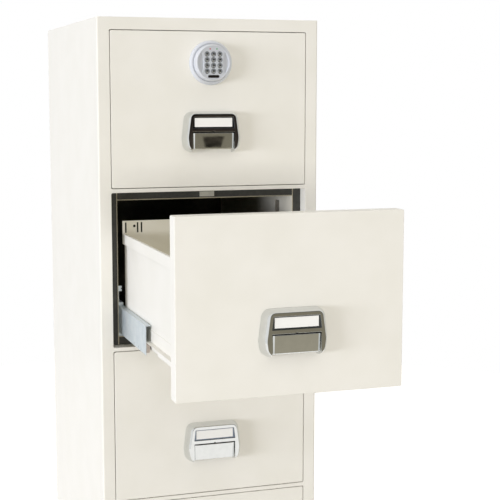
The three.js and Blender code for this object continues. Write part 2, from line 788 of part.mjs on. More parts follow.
// Pull flap on a barrel, with a face that leans back a little and a lip turned in along its lower edge
function makeFlap() {
  const half = flapPocketHalf - flapSideGap;
  const axleZ = -flapAxleDrop;
  const faceY = flapFaceSetback - handleDepth;
  const bottomZ = -flapPocketDrop - flapTopGap - flapHeight;
  const toeZ = bottomZ + flapToeRadius;
  const toeY = faceY + (axleZ - toeZ) * Math.tan(THREE.MathUtils.degToRad(flapLean));
  const profile = new THREE.Shape();
  profile.moveTo(faceY + flapThickness, axleZ);
  profile.lineTo(faceY, axleZ);
  profile.lineTo(toeY, toeZ);
  profile.quadraticCurveTo(toeY, bottomZ, toeY + flapToeRadius, bottomZ);
  profile.lineTo(faceY + flapLip, bottomZ);
  profile.lineTo(faceY + flapLip, bottomZ + flapLipThickness);
  profile.lineTo(toeY + flapThickness, toeZ + flapLipThickness);
  const settings = { depth: 2 * half, bevelEnabled: false, curveSegments: 5 };
  const plate = toSolid(new THREE.ExtrudeGeometry(profile, settings),
    new THREE.Matrix4().makeTranslation(-half, 0, 0).multiply(alongX));
  const pinEnd = flapPocketHalf + flapPinLength - fitGap;
  return moved(union(
    plate,
    crossPin(2 * flapBarrelRadius, -half, half, flapAxleY, axleZ, 16),
    crossPin(flapPinDiameter, -pinEnd, pinEnd, flapAxleY, axleZ, 12)), 0, 0, -handleDrop);
}

// Fixed base of the lock: a rounded ring with a seat for the knob and a bore for its spindle
function makeLockBase() {
  const base = turned([
    [0, fitGap],
    [lockBaseRadius, fitGap],
    ...edgeArc(lockBaseRadius, lockBaseHeight, lockBaseShoulder, lockBaseHeight - lockBaseEdge, 4),
    [knobRadius + knobGap, lockBaseHeight],
    [knobRadius + knobGap, knobSeat],
    [0, knobSeat],
  ], 44, 0, -lockDrop);
  return cut(base, disc(spindleRadius + fitGap, -past, lockBaseHeight + past, 20, 0, -lockDrop));
}

// Centres of the buttons on the knob's face, row by row from the top left
function buttonPlaces() {
  const places = [];
  for (let row = 0; row < buttonRows; row += 1) {
    for (let column = 0; column < buttonColumns; column += 1) {
      const x = (column - (buttonColumns - 1) / 2) * buttonColumnPitch;
      const z = ((buttonRows - 1) / 2 - row) * buttonRowPitch;
      places.push([x, z]);
    }
  }
  return places;
}

// Turning knob: a rimmed face with a finger scoop on each side of the keypad's waisted panel
function makeKnob() {
  const rimInner = knobFaceRadius - knobRimWidth;
  const body = turned([
    [0, knobHeel],
    ...edgeArc(knobRadius, lockHeight, knobRadius - knobFaceRadius, lockHeight - knobHeel, 5),
    [rimInner, panelHeight],
    [0, panelHeight],
  ], 44, 0, 0);
  const bowl = disc(rimInner, lockHeight - scoopDepth, lockHeight + past, 44, 0, 0);
  const scoops = [-1, 1].map((side) => {
    const x = side * (scoopWaist + scoopRadius);
    return bowl.intersect(disc(scoopRadius, lockHeight - scoopDepth, lockHeight + past, 72, x, 0));
  });
  const wells = buttonPlaces().map(([x, z]) => (
    disc(buttonDiameter / 2 + buttonWellGap, panelHeight - buttonWellDepth, lockHeight + past, 12, x, z)));
  const spindle = disc(spindleRadius, knobHeel - spindleDepth, knobHeel + weld, 20, 0, 0);
  return moved(cut(body, ...scoops, ...wells).add(spindle), 0, 0, -lockDrop);
}

// Domed push button that stands in its well with room for its travel
function makeButton([x, z]) {
  const radius = buttonDiameter / 2;
  const foot = panelHeight - buttonWellDepth + fitGap + buttonTravel;
  const top = panelHeight + buttonHeight;
  const profile = [
    [0, foot],
    [radius, foot],
    ...edgeArc(radius, top, buttonDomeWidth, buttonDomeHeight, 2),
    [0, top],
  ];
  return turned(profile, 12, x, z - lockDrop);
}

const cabinet = new THREE.Group();
addPiece(cabinet, 'outer_casing', makeCasing(), creamPaint);
addPiece(cabinet, 'back_panel', makeBackPanel(), creamPaint);
addPiece(cabinet, 'base_pan', makeBasePan(), creamPaint);
addPiece(cabinet, 'wall_insulation', makeInsulation(), castInsulation);
addPiece(cabinet, 'seal_frame', makeSealFrame(), darkSeal);
addPiece(cabinet, 'lock_bar', makeLockBar(), zincPlate);

const liner = makeLiner();
const fixedSlide = makeFixedSlide();
const middleSlide = makeMiddleSlide();
const tray = makeTray();
const frontPan = makeFrontPan();
const headInsulation = makeHeadInsulation();
const handle = makeHandle();
const flap = makeFlap();

drawers.forEach((drawer) => {
  const bay = new THREE.Group();
  bay.position.set(0, frontY, openingTop(drawer));
  cabinet.add(bay);
  addPiece(bay, `liner_${drawer}`, liner, linerPaint);
  addPiece(bay, `fixed_slide_left_${drawer}`, mirrored(fixedSlide), zincPlate);
  addPiece(bay, `fixed_slide_right_${drawer}`, fixedSlide, zincPlate);

  const open = drawer === openDrawer ? drawerTravel : 0;
  const middle = new THREE.Group();
  middle.position.set(0, -open / 2, 0);
  bay.add(middle);
  addPiece(middle, `middle_slide_left_${drawer}`, mirrored(middleSlide), zincPlate);
  addPiece(middle, `middle_slide_right_${drawer}`, middleSlide, zincPlate);

  const moving = new THREE.Group();
  moving.position.set(0, -open, 0);
  bay.add(moving);
  addPiece(moving, `tray_${drawer}`, tray, creamPaint);
  addPiece(moving, `front_pan_${drawer}`, frontPan, creamPaint);
  addPiece(moving, `head_insulation_${drawer}`, headInsulation, castInsulation);
  addPiece(moving, `handle_${drawer}`, handle, chromePlate);
  addPiece(moving, `handle_flap_${drawer}`, flap, chromePlate);
  if (drawer === 1) {
    addPiece(moving, 'lock_base', makeLockBase(), satinSilver);
    addPiece(moving, 'lock_knob', makeKnob(), satinSilver);
    buttonPlaces().forEach((place, i) => {
      addPiece(moving, `button_${i + 1}`, makeButton(place), chromePlate);
    });
  }
});

export default cabinet;
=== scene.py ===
import json
import math
import bmesh
import bpy
from mathutils import Matrix, Vector


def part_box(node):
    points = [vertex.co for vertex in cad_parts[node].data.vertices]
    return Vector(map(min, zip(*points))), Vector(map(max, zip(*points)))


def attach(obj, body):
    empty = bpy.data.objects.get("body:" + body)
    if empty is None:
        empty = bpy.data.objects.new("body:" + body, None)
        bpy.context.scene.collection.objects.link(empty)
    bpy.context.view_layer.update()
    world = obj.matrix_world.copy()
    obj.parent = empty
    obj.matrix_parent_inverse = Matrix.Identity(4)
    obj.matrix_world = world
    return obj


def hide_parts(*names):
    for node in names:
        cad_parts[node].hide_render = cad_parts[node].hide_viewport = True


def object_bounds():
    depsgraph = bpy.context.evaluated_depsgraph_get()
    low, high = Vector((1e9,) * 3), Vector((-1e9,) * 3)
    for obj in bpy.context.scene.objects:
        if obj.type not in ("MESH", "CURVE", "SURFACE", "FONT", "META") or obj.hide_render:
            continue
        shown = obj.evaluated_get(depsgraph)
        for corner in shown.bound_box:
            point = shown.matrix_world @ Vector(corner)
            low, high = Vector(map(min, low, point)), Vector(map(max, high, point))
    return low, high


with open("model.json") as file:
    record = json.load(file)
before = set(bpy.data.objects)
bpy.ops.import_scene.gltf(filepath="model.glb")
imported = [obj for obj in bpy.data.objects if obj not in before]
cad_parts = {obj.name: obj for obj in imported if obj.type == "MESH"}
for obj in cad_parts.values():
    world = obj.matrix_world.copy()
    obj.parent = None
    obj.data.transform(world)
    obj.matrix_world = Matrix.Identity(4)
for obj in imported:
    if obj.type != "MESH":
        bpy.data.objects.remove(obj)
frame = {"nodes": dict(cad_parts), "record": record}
cadLow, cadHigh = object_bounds()
bodyOf = {node: body for body, nodes in frame["record"]["behaviour"]["bodies"].items() for node in nodes}
drawers = [1, 2, 3, 4]
# In mm, less than any step in the shapes
hair = 0.01
print("frame loaded,", len(frame["nodes"]), "nodes")


def mm(value):
    return value / 1000


def linear(hexColour):
    # sRGB hex to the linear colour that shaders take
    channels = [int(hexColour[i:i + 2], 16) / 255 for i in (1, 3, 5)]
    return [c / 12.92 if c <= 0.04045 else ((c + 0.055) / 1.055) ** 2.4 for c in channels] + [1]


def addNode(tree, kind, values=None, links=None, **settings):
    node = tree.nodes.new(kind)
    for key, value in settings.items():
        setattr(node, key, value)
    for key, value in (values or {}).items():
        node.inputs[key].default_value = value
    for key, source in (links or {}).items():
        tree.links.new(source, node.inputs[key])
    return node


# Camera, at the height and turn that the photograph was taken from

cameraView = {"place": (-814.5, -3084.4, 1349.2), "turn": 18.28, "tilt": 7.29, "lens": 88.38,
              "shiftX": 0.003, "shiftY": 0.001}


def makeCamera(v):
    data = bpy.data.cameras.new("camera")
    data.lens = v["lens"]
    data.sensor_width = 36
    data.shift_x = v["shiftX"]
    data.shift_y = v["shiftY"]
    data.clip_end = 100
    camera = bpy.data.objects.new("camera", data)
    camera.location = [mm(c) for c in v["place"]]
    camera.rotation_euler = (math.radians(90 - v["tilt"]), 0, math.radians(-v["turn"]))
    bpy.context.collection.objects.link(camera)
    bpy.context.scene.camera = camera


makeCamera(cameraView)
print("camera placed")


# Finishes, each from one or two patterns sized in mm

def newMaterial(name):
    material = bpy.data.materials.new(name)
    material.use_nodes = True
    material.node_tree.nodes.clear()
    return material, material.node_tree


def noise(tree, sizeMm, detail=2, stretch=(1, 1, 1), roughness=0.5):
    # Noise whose largest features are sizeMm across, stretched along an axis where its scale is small
    coords = addNode(tree, "ShaderNodeTexCoord")
    mapping = addNode(tree, "ShaderNodeMapping", {"Scale": stretch}, {"Vector": coords.outputs["Object"]})
    texture = addNode(tree, "ShaderNodeTexNoise", {
        "Scale": 1000 / sizeMm, "Detail": detail, "Roughness": roughness}, {"Vector": mapping.outputs[0]})
    return texture.outputs["Fac"]


def colourBands(tree, factor, bands):
    # A colour ramp from [position, hex colour] pairs in rising order
    ramp = addNode(tree, "ShaderNodeValToRGB", links={"Fac": factor})
    elements = ramp.color_ramp.elements
    for element, (position, colour) in zip((elements[0], elements[1]), (bands[0], bands[-1])):
        element.position = position
        element.color = linear(colour)
    for position, colour in bands[1:-1]:
        elements.new(position).color = linear(colour)
    return ramp.outputs["Color"]


def twoTone(tree, factor, darkHex, lightHex):
    return colourBands(tree, factor, [(0.35, darkHex), (0.65, lightHex)])


def finish(tree, values, tones, rough, relief):
    # Each starts with its pattern: tones from a dark to a light hex colour, rough from least to most, and
    # relief of a strength and a depth in mm
    gloss = addNode(tree, "ShaderNodeMapRange", {
        "From Min": 0.3, "From Max": 0.7, "To Min": rough[1], "To Max": rough[2]}, {"Value": rough[0]})
    skin = addNode(tree, "ShaderNodeBump", {"Strength": relief[1], "Distance": mm(relief[2])},
                   {"Height": relief[0]})
    shader = addNode(tree, "ShaderNodeBsdfPrincipled", values, {
        "Base Color": twoTone(tree, *tones), "Roughness": gloss.outputs[0], "Normal": skin.outputs[0]})
    addNode(tree, "ShaderNodeOutputMaterial", links={"Surface": shader.outputs[0]})


def powderCoat(name, darkHex, lightHex, rough):
    # Polyester powder coat on sheet steel: an even satin colour with a faint orange peel
    material, tree = newMaterial(name)
    mottle = noise(tree, 90)
    peel = noise(tree, 2.2, detail=1)
    finish(tree, {"IOR": 1.5}, (mottle, darkHex, lightHex), (mottle, rough - 0.03, rough + 0.03),
           (peel, 0.25, 0.06))
    return material


def boardMaterial(name, darkHex, lightHex, grainMm, depthMm):
    # Pressed or cast mineral board: matt, with an open grain
    material, tree = newMaterial(name)
    grain = noise(tree, grainMm, detail=4, roughness=0.65)
    finish(tree, {"IOR": 1.45, "Specular IOR Level": 0.3}, (grain, darkHex, lightHex), (grain, 0.8, 0.95),
           (grain, 0.6, depthMm))
    return material


def zincMaterial(name, darkHex, lightHex, rough, stretch):
    # Zinc electroplate with a milky passivate on rolled steel: clouded, half matt, faintly streaked
    material, tree = newMaterial(name)
    streaks = noise(tree, 3, detail=2, stretch=stretch)
    clouds = noise(tree, 26, detail=2)
    finish(tree, {"Metallic": 0.6}, (clouds, darkHex, lightHex), (streaks, rough - 0.05, rough + 0.07),
           (streaks, 0.1, 0.01))
    return material


def chromeMaterial(name, darkHex, lightHex, rough):
    # Decorative chrome over a polished zinc casting: a mirror with a slow ripple from buffing
    material, tree = newMaterial(name)
    ripple = noise(tree, 14, detail=1)
    finish(tree, {"Metallic": 1}, (ripple, darkHex, lightHex), (ripple, rough, rough + 0.02),
           (ripple, 0.05, 0.1))
    return material


def silverPaint(name, darkHex, lightHex, rough):
    # Satin silver paint on a moulding: fine metal flake, drawn coarser than it is so that it shows
    material, tree = newMaterial(name)
    flake = noise(tree, 0.9, detail=1)
    finish(tree, {"Metallic": 0.25, "IOR": 1.5}, (flake, darkHex, lightHex),
           (flake, rough - 0.04, rough + 0.04), (flake, 0.06, 0.005))
    return material


def castMetal(name, darkHex, lightHex, rough):
    # A dull, dark metal with a fine skin from the mould, used as painted shade on the ceiling and back of the
    # handle's pocket
    material, tree = newMaterial(name)
    skin = noise(tree, 2.5, detail=3)
    finish(tree, {"Metallic": 0.3}, (skin, darkHex, lightHex), (skin, rough - 0.05, rough + 0.05),
           (skin, 0.3, 0.05))
    return material


def plasticMaterial(name, darkHex, lightHex, rough, coat=0.0):
    # Moulded plastic with a slight texture from the mould
    material, tree = newMaterial(name)
    grain = noise(tree, 1.5, detail=2)
    finish(tree, {"IOR": 1.5, "Coat Weight": coat}, (grain, darkHex, lightHex),
           (grain, rough - 0.04, rough + 0.04), (grain, 0.12, 0.02))
    return material


def cardMaterial(name, darkHex, lightHex):
    # Uncoated card: matt, with short paper fibres
    material, tree = newMaterial(name)
    fibres = noise(tree, 0.8, detail=3, stretch=(0.4, 1, 1))
    finish(tree, {"IOR": 1.45, "Specular IOR Level": 0.25}, (fibres, darkHex, lightHex),
           (fibres, 0.7, 0.85), (fibres, 0.12, 0.01))
    return material


creamPaint = powderCoat("cream powder coat", "#edeae1", "#f0ede5", 0.42)
linerPaint = powderCoat("liner powder coat", "#e3ddcc", "#e9e3d3", 0.5)
# Painted shade: a warmer cream for the warm, dimmer light inside the trays
trayWarmShade = powderCoat("painted warm shade inside the tray", "#ebe6d6", "#efebde", 0.45)
# The liner's front edge faces are painted a darker tan
linerDarkEdge = powderCoat("darker tan liner front edge", "#aba28b", "#b8b09a", 0.5)
sealBoard = boardMaterial("seal board", "#41413f", "#4b4b48", 6, 0.15)
# Painted shade: a dark board colour for the dim back, ceiling and floor inside each bay
bayPaintedShade = boardMaterial("painted shade inside the bay", "#49483f", "#55544a", 7, 0.2)
castInsulation = boardMaterial("cast insulation", "#b2ab9c", "#c8c2b4", 9, 0.5)
zincPlate = zincMaterial("zinc plated steel", "#ccd6dc", "#d8e0e4", 0.42, (1, 0.06, 1))
strikeZinc = zincMaterial("zinc plated strike", "#d6d6d2", "#e0e0dc", 0.4, (1, 1, 0.1))
brassPassivate = zincMaterial("yellow passivated steel", "#8f7a52", "#a58f66", 0.38, (1, 1, 0.04))
chromePlate = chromeMaterial("chrome plate", "#d9dbdb", "#dddfdf", 0.02)
# Darker chrome is painted shade on the floor of the card window
windowShadeChrome = chromeMaterial("chrome with painted shade in the card window", "#6d7480", "#7a818c", 0.12)
buttonChrome = chromeMaterial("dark chrome plate", "#a4a8ad", "#adb1b5", 0.04)
# Painted shade for the ceiling and back of the handle's pocket
pocketShadeMetal = castMetal("painted shade metal in the handle pocket", "#181614", "#24211e", 0.6)
satinSilver = silverPaint("satin silver paint", "#d7dae0", "#dbdee4", 0.32)
nylon = plasticMaterial("nylon", "#d8c9bf", "#e0d3ca", 0.42)
blackPlastic = plasticMaterial("black plastic", "#1a1716", "#26211f", 0.25, coat=0.3)
redLamp = plasticMaterial("red epoxy lamp", "#a8182c", "#c02338", 0.15, coat=0.5)
greenLamp = plasticMaterial("green epoxy lamp", "#2f9550", "#3fae62", 0.15, coat=0.5)
labelCard = cardMaterial("label card", "#f2f1ee", "#f5f4f1")
print("finishes made")


# Shapes, given in mm

def meshFrom(name, bm):
    mesh = bpy.data.meshes.new(name)
    bm.to_mesh(mesh)
    bm.free()
    piece = bpy.data.objects.new(name, mesh)
    bpy.context.collection.objects.link(piece)
    return piece


def bake(piece):
    # Turns modifiers into a plain mesh
    evaluated = piece.evaluated_get(bpy.context.evaluated_depsgraph_get())
    mesh = bpy.data.meshes.new_from_object(evaluated)
    piece.modifiers.clear()
    old = piece.data
    piece.data = mesh
    bpy.data.meshes.remove(old)
    return piece


def smooth(piece, angle=50):
    # Smooth shading that keeps large faces flat and rounds only the bevels between them
    for face in piece.data.polygons:
        face.use_smooth = True
    piece.data.set_sharp_from_angle(angle=math.radians(angle))
    modifier = piece.modifiers.new("weigh", "WEIGHTED_NORMAL")
    modifier.keep_sharp = True
    modifier.weight = 100
    return bake(piece)


def bevel(piece, widthMm, segments=2, angle=30):
    modifier = piece.modifiers.new("bevel", "BEVEL")
    modifier.width = mm(widthMm)
    modifier.segments = segments
    modifier.limit_method = "ANGLE"
    modifier.angle_limit = math.radians(angle)
    modifier.use_clamp_overlap = False
    modifier.miter_outer = "MITER_ARC"
    return bake(piece)


def settle(piece, body, slot=None, *nodes):
    # A finished piece rides on its body and stands for its CAD nodes
    if nodes:
        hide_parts(*nodes)
    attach(piece, body)
    return piece


def paint(piece, *materials):
    piece.data.materials.clear()
    for material in materials:
        piece.data.materials.append(material)
    return piece


def cadCopy(node):
    # A CAD node with its triangles joined, ready for its edges to be rounded
    bm = bmesh.new()
    bm.from_mesh(frame["nodes"][node].data)
    bmesh.ops.remove_doubles(bm, verts=bm.verts, dist=mm(hair))
    return meshFrom(f"{node}_finished", bm)


def cutWith(piece, *cutters):
    for cutter in cutters:
        modifier = piece.modifiers.new("cut", "BOOLEAN")
        modifier.operation = "DIFFERENCE"
        modifier.solver = "EXACT"
        modifier.object = cutter
    bake(piece)
    for cutter in cutters:
        bpy.data.objects.remove(cutter)
    return piece


def joinInto(piece, others):
    # Adds the meshes of other pieces, which have the same material or none yet
    bm = bmesh.new()
    bm.from_mesh(piece.data)
    for other in others:
        bm.from_mesh(other.data)
        bpy.data.objects.remove(other)
    bm.to_mesh(piece.data)
    bm.free()
    return piece


def block(name, first, second):
    # An axis-aligned block between two opposite corners
    low = [min(pair) for pair in zip(first, second)]
    high = [max(pair) for pair in zip(first, second)]
    bm = bmesh.new()
    corners = bmesh.ops.create_cube(bm, size=1)["verts"]
    bmesh.ops.scale(bm, vec=[mm(b - a) for a, b in zip(low, high)], verts=corners)
    bmesh.ops.translate(bm, vec=[mm(a + b) / 2 for a, b in zip(low, high)], verts=corners)
    return meshFrom(name, bm)


def turnedShape(bm, profile, centre, axis, segments):
    # Turns a profile of [radius, distance along axis] about an axis through centre
    axis = Vector(axis)
    side = axis.orthogonal().normalized()
    up = axis.cross(side)
    rings = []
    for radius, along in profile:
        start = Vector(centre) + axis * along
        if radius < 1e-6:
            rings.append([bm.verts.new(start / 1000)])
            continue
        angles = [2 * math.pi * i / segments for i in range(segments)]
        rings.append([bm.verts.new((start + (side * math.cos(a) + up * math.sin(a)) * radius) / 1000)
                      for a in angles])
    for first, second in zip(rings, rings[1:]):
        for i in range(segments):
            j = (i + 1) % segments
            corners = [first[i % len(first)], first[j % len(first)],
                       second[j % len(second)], second[i % len(second)]]
            bm.faces.new(list(dict.fromkeys(corners)))
    bmesh.ops.recalc_face_normals(bm, faces=bm.faces)


def turnedPiece(name, profile, centre, axis, segments):
    bm = bmesh.new()
    turnedShape(bm, profile, centre, axis, segments)
    return meshFrom(name, bm)


def arc(radius, height, acrossRun, upRun, steps):
    # Quarter ellipse from the outside of a turned edge to its top
    angles = [math.pi / 2 * i / steps for i in range(steps + 1)]
    return [[radius - acrossRun * (1 - math.cos(a)), height - upRun * (1 - math.sin(a))] for a in angles]


def roundedOutline(corners, steps):
    # Points round a polygon given as [x, z, radius], counter-clockwise, with its corners rounded
    points = []
    for i, (x, z, radius) in enumerate(corners):
        here = Vector((x, z))
        toPrevious = (Vector(corners[i - 1][:2]) - here).normalized()
        toNext = (Vector(corners[(i + 1) % len(corners)][:2]) - here).normalized()
        halfAngle = math.acos(toPrevious.dot(toNext)) / 2
        centre = here + (toPrevious + toNext).normalized() * (radius / math.sin(halfAngle))
        start = here + toPrevious * (radius / math.tan(halfAngle)) - centre
        sweep = math.pi - 2 * halfAngle
        for step in range(steps + 1):
            turn = Matrix.Rotation(sweep * step / steps, 2)
            points.append(centre + turn @ start)
    return points


def roundedPanel(bottomHalf, topHalf, bottom, top, radius, steps):
    return roundedOutline([[-bottomHalf, bottom, radius], [bottomHalf, bottom, radius],
                           [topHalf, top, radius], [-topHalf, top, radius]], steps)


def skinRings(bm, rings, closed):
    # Joins rings of equal vertex count, each to the next, and closes the rings given last
    for first, second in zip(rings, rings[1:]):
        for i in range(len(first)):
            j = (i + 1) % len(first)
            bm.faces.new([first[i], first[j], second[j], second[i]])
    for ring in closed:
        bm.faces.new(ring)


def loftShape(bm, sections, across=False):
    # Skins outlines of x and z, each at its own y, or of y and z, each at its own x, and closes both ends
    rings = [[bm.verts.new([mm(c) for c in ((at, a, b) if across else (a, at, b))]) for a, b in outline]
             for at, outline in sections]
    skinRings(bm, rings, [rings[0], rings[-1]])
    bmesh.ops.recalc_face_normals(bm, faces=bm.faces)


def boxOf(node):
    # The corners of a CAD node in mm
    low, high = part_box(node)
    return low * 1000, high * 1000


def keepInside(piece, node):
    # Rounded corners may swell by a hair, so they are held inside the CAD node's box
    low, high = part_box(node)
    for vertex in piece.data.vertices:
        vertex.co = [min(max(c, a), b) for c, a, b in zip(vertex.co, low, high)]
    return piece


# Sheet metal that keeps its CAD shape, with its edges rounded: material, slot and edge width

sheetPieces = {
    "outer_casing": (creamPaint, "cream_paint", 0.7),
    "back_panel": (creamPaint, "cream_paint", 0.7),
    "base_pan": (creamPaint, "cream_paint", 0.5),
    "lock_bar": (brassPassivate, "zinc", 0.4),
}
bayPieces = {
    "fixed_slide_left": (zincPlate, "zinc", 0.25),
    "fixed_slide_right": (zincPlate, "zinc", 0.25),
    "tray": (creamPaint, "cream_paint", 0.35),
    "front_pan": (creamPaint, "cream_paint", 0.6),
}
# Where the tray's inside gets painted warm shade
trayShadeWell = {"half": 198.6, "front": 1.4, "rear": 1, "floor": 15}


def roundedSheet(node, material, slot, widthMm):
    piece = keepInside(bevel(cadCopy(node), widthMm), node)
    return settle(paint(smooth(piece), material), bodyOf[node], slot, node)


def paintWellShade(drawer):
    # The tray's inside, above its floor, is a warmer cream, which is painted warm shade
    v = trayShadeWell
    tray = bpy.data.objects[f"tray_{drawer}_finished"].data
    tray.materials.append(trayWarmShade)
    low, high = boxOf(f"tray_{drawer}")
    for face in tray.polygons:
        c = face.center * 1000
        inShadeWell = abs(c.x) < v["half"] and low.y + v["front"] < c.y < high.y - v["rear"]
        face.material_index = 1 if inShadeWell and c.z > low.z + v["floor"] else 0


for node, (material, slot, widthMm) in sheetPieces.items():
    roundedSheet(node, material, slot, widthMm)
for part, (material, slot, widthMm) in bayPieces.items():
    for drawer in drawers:
        roundedSheet(f"{part}_{drawer}", material, slot, widthMm)
for drawer in drawers:
    paintWellShade(drawer)
    paint(frame["nodes"][f"head_insulation_{drawer}"], castInsulation)
paint(frame["nodes"]["wall_insulation"], castInsulation)
print("sheet metal finished")


# Seal frame with its zinc strikes, and the liners behind it

linerShape = {"edge": 0.5, "sealEdge": 0.2, "side": 2.5, "creamDepth": 4, "rim": 0.6}


def makeSealFrame():
    # What stands in front of the liners is the strikes
    piece = paint(cadCopy("seal_frame"), sealBoard, strikeZinc)
    plateFront = boxOf("liner_1")[0].y
    for face in piece.data.polygons:
        if face.center.y * 1000 < plateFront - hair:
            face.material_index = 1
    settle(smooth(bevel(piece, linerShape["sealEdge"])), "cabinet", "dark_seal", "seal_frame")


def makeLiner(drawer):
    # The side plates and the mouth are cream, with a darker tan front edge, and the rest is painted shade: a
    # dark board colour for the dim inside of the bay
    v = linerShape
    node = f"liner_{drawer}"
    low, high = boxOf(node)
    piece = paint(smooth(bevel(cadCopy(node), v["edge"])), linerPaint, bayPaintedShade, linerDarkEdge)
    for face in piece.data.polygons:
        c = face.center * 1000
        inside = low.x + v["side"] < c.x < high.x - v["side"]
        # Past the first few mm of the mouth, away from the side plates, faces get a dark board colour that is
        # painted shade
        face.material_index = 1 if inside and c.y > low.y + v["creamDepth"] else 0
        # The mouth's front edge faces are painted a darker tan
        if c.y < low.y + v["rim"] and face.normal.y < -0.5:
            face.material_index = 2
    settle(piece, "cabinet", "liner_paint", node)


for drawer in drawers:
    makeLiner(drawer)
makeSealFrame()
print("liners and seal frame made")


# Slides: the telescoping channels with their nylon rollers

slideShape = {"sheet": 1.5, "fixedSheet": 1.2, "headPlate": 1.5, "flange": 12, "edge": 0.3,
              "rollerDiameter": 26, "rollerWidth": 8.5, "rollerGap": 2.2, "rollerSetback": 21,
              "rollerRise": 13.3, "rollerEdge": 0.6, "notchClear": 3, "hubRadius": 9, "hubDepth": 1.2,
              "hubEdge": 0.4, "axleRadius": 3.5, "axleFit": 0.2, "axleSink": 0.4,
              "axleDome": [(0.2, 0.2), (0.6, 1.3), (1.6, 1.55)],
              "holeRadius": 2.5, "holeOffsets": [69, 111], "holeRise": 6, "holeReach": 5,
              "stopSetback": 46, "stopLength": 12, "stopRise": 17.3, "stopHeight": 8, "stopDepth": 0.25}


def makeMiddleSlide(side, drawer):
    # A channel open to the drawer, with its lower flange cut away round the roller and a stop on its web
    v = slideShape
    node = f"middle_slide_{side}_{drawer}"
    low, high = boxOf(node)
    sign = 1 if side == "right" else -1
    outer = sign * max(abs(low.x), abs(high.x))
    web = outer - sign * v["sheet"]
    lip = outer - sign * v["flange"]
    bottom, top = low.z, high.z
    outline = [(lip, bottom), (outer, bottom), (outer, top), (lip, top), (lip, top - v["sheet"]),
               (web, top - v["sheet"]), (web, bottom + v["sheet"]), (lip, bottom + v["sheet"])]
    bm = bmesh.new()
    loftShape(bm, [(y, [Vector(p) for p in outline]) for y in (low.y, high.y)])
    channel = meshFrom(f"{node}_finished", bm)
    radius, reach = v["holeRadius"], v["holeReach"]
    holes = [turnedPiece("hole", [[0, -reach], [radius, -reach], [radius, reach], [0, reach]],
                         (outer, low.y + offset, bottom + v["holeRise"]), (1, 0, 0), 24)
             for offset in v["holeOffsets"]]
    notchRear = low.y + v["rollerSetback"] + v["rollerDiameter"] / 2 + v["notchClear"]
    notch = block("notch", (lip - sign, low.y - 1, bottom - 1), (web, notchRear, bottom + v["sheet"] + 1))
    cutWith(channel, notch, *holes)
    bevel(channel, v["edge"])
    stopFront, stopFoot = low.y + v["stopSetback"], bottom + v["stopRise"]
    stop = block("stop", (web - sign * v["stopDepth"], stopFront, stopFoot),
                 (web + sign * hair, stopFront + v["stopLength"], stopFoot + v["stopHeight"]))
    joinInto(channel, [bevel(stop, v["edge"])])
    settle(paint(smooth(channel), zincPlate), f"slides_{drawer}", "zinc", node)
    makeRoller(node, drawer, Vector((web, low.y + v["rollerSetback"], bottom + v["rollerRise"])), sign)


def makeRoller(node, drawer, centre, sign):
    v = slideShape
    radius, edge, shaft = v["rollerDiameter"] / 2, v["rollerEdge"], v["axleRadius"]
    start = v["rollerGap"]
    end = start + v["rollerWidth"]
    hub = end - v["hubDepth"]
    tyre = turnedPiece(f"{node}_roller", [
        [shaft, start], [radius - edge, start], [radius, start + edge], [radius, end - edge],
        [radius - edge, end], [v["hubRadius"], end], [v["hubRadius"] - v["hubEdge"], hub], [shaft, hub],
        [shaft, start]], centre, (-sign, 0, 0), 64)
    settle(paint(smooth(tyre, 40), nylon), f"slides_{drawer}")
    dome = [[shaft - inset, hub + rise] for inset, rise in v["axleDome"]]
    axle = turnedPiece(f"{node}_axle", [[0, -v["axleSink"]], [shaft - v["axleFit"], -v["axleSink"]]] + dome
                       + [[0, dome[-1][1]]], centre, (-sign, 0, 0), 32)
    settle(paint(smooth(axle, 40), zincPlate), f"slides_{drawer}", "zinc")


for drawer in drawers:
    for side in ("left", "right"):
        makeMiddleSlide(side, drawer)
print("slides made")


# Handle casting: a chromed hood with a card window and an open pocket for the flap

handleShape = {"height": 94.2, "topHalf": 62.5, "waistHalf": 70, "waistDrop": 60, "bottomHalf": 66,
               "topRadius": 18, "waistRadius": 40, "bottomRadius": 22,
               "sideLean": 9.3, "edgeLean": 4.6, "cornerLean": 6, "leanPower": 2.2, "sections": 12,
               "edgeSections": 5, "edgeRun": 1.6, "edgeInset": 1.1, "cornerSteps": 8, "cutEdge": 0.5,
               "windowDepth": 2.4, "windowTopDrop": 12.4, "windowBottomDrop": 38.1, "windowNear": 0.4,
               "windowTopHalf": 47.4, "windowBottomHalf": 50.7, "windowRadius": 1.2,
               "cardHalf": 45, "cardTopDrop": 14.4, "cardBottomDrop": 34.9, "cardThickness": 0.6,
               "cardEdge": 0.15, "pocketHalf": 50.3, "pocketDrop": 46.1, "pocketMouth": 2, "pocketNear": 0.3,
               "pocketClear": 0.2, "backPlate": 4, "plateDrop": 70, "notchRadius": 1.9, "notchReach": 40,
               "cutReach": 5}


def handleOutline(v, lean, inset, top):
    # The hood's outline narrows with lean from the drawer outwards, and inset rounds it over at the front
    side = v["sideLean"] * lean + inset
    edge = v["edgeLean"] * lean + inset
    tighten = v["cornerLean"] * lean + inset
    right = [[v["bottomHalf"] - side, top + edge - v["height"], v["bottomRadius"] - tighten],
             [v["waistHalf"] - side, top - v["waistDrop"], v["waistRadius"]],
             [v["topHalf"] - side, top - edge, v["topRadius"] - tighten]]
    left = [[-x, z, radius] for x, z, radius in reversed(right)]
    return roundedOutline(right + left, v["cornerSteps"])


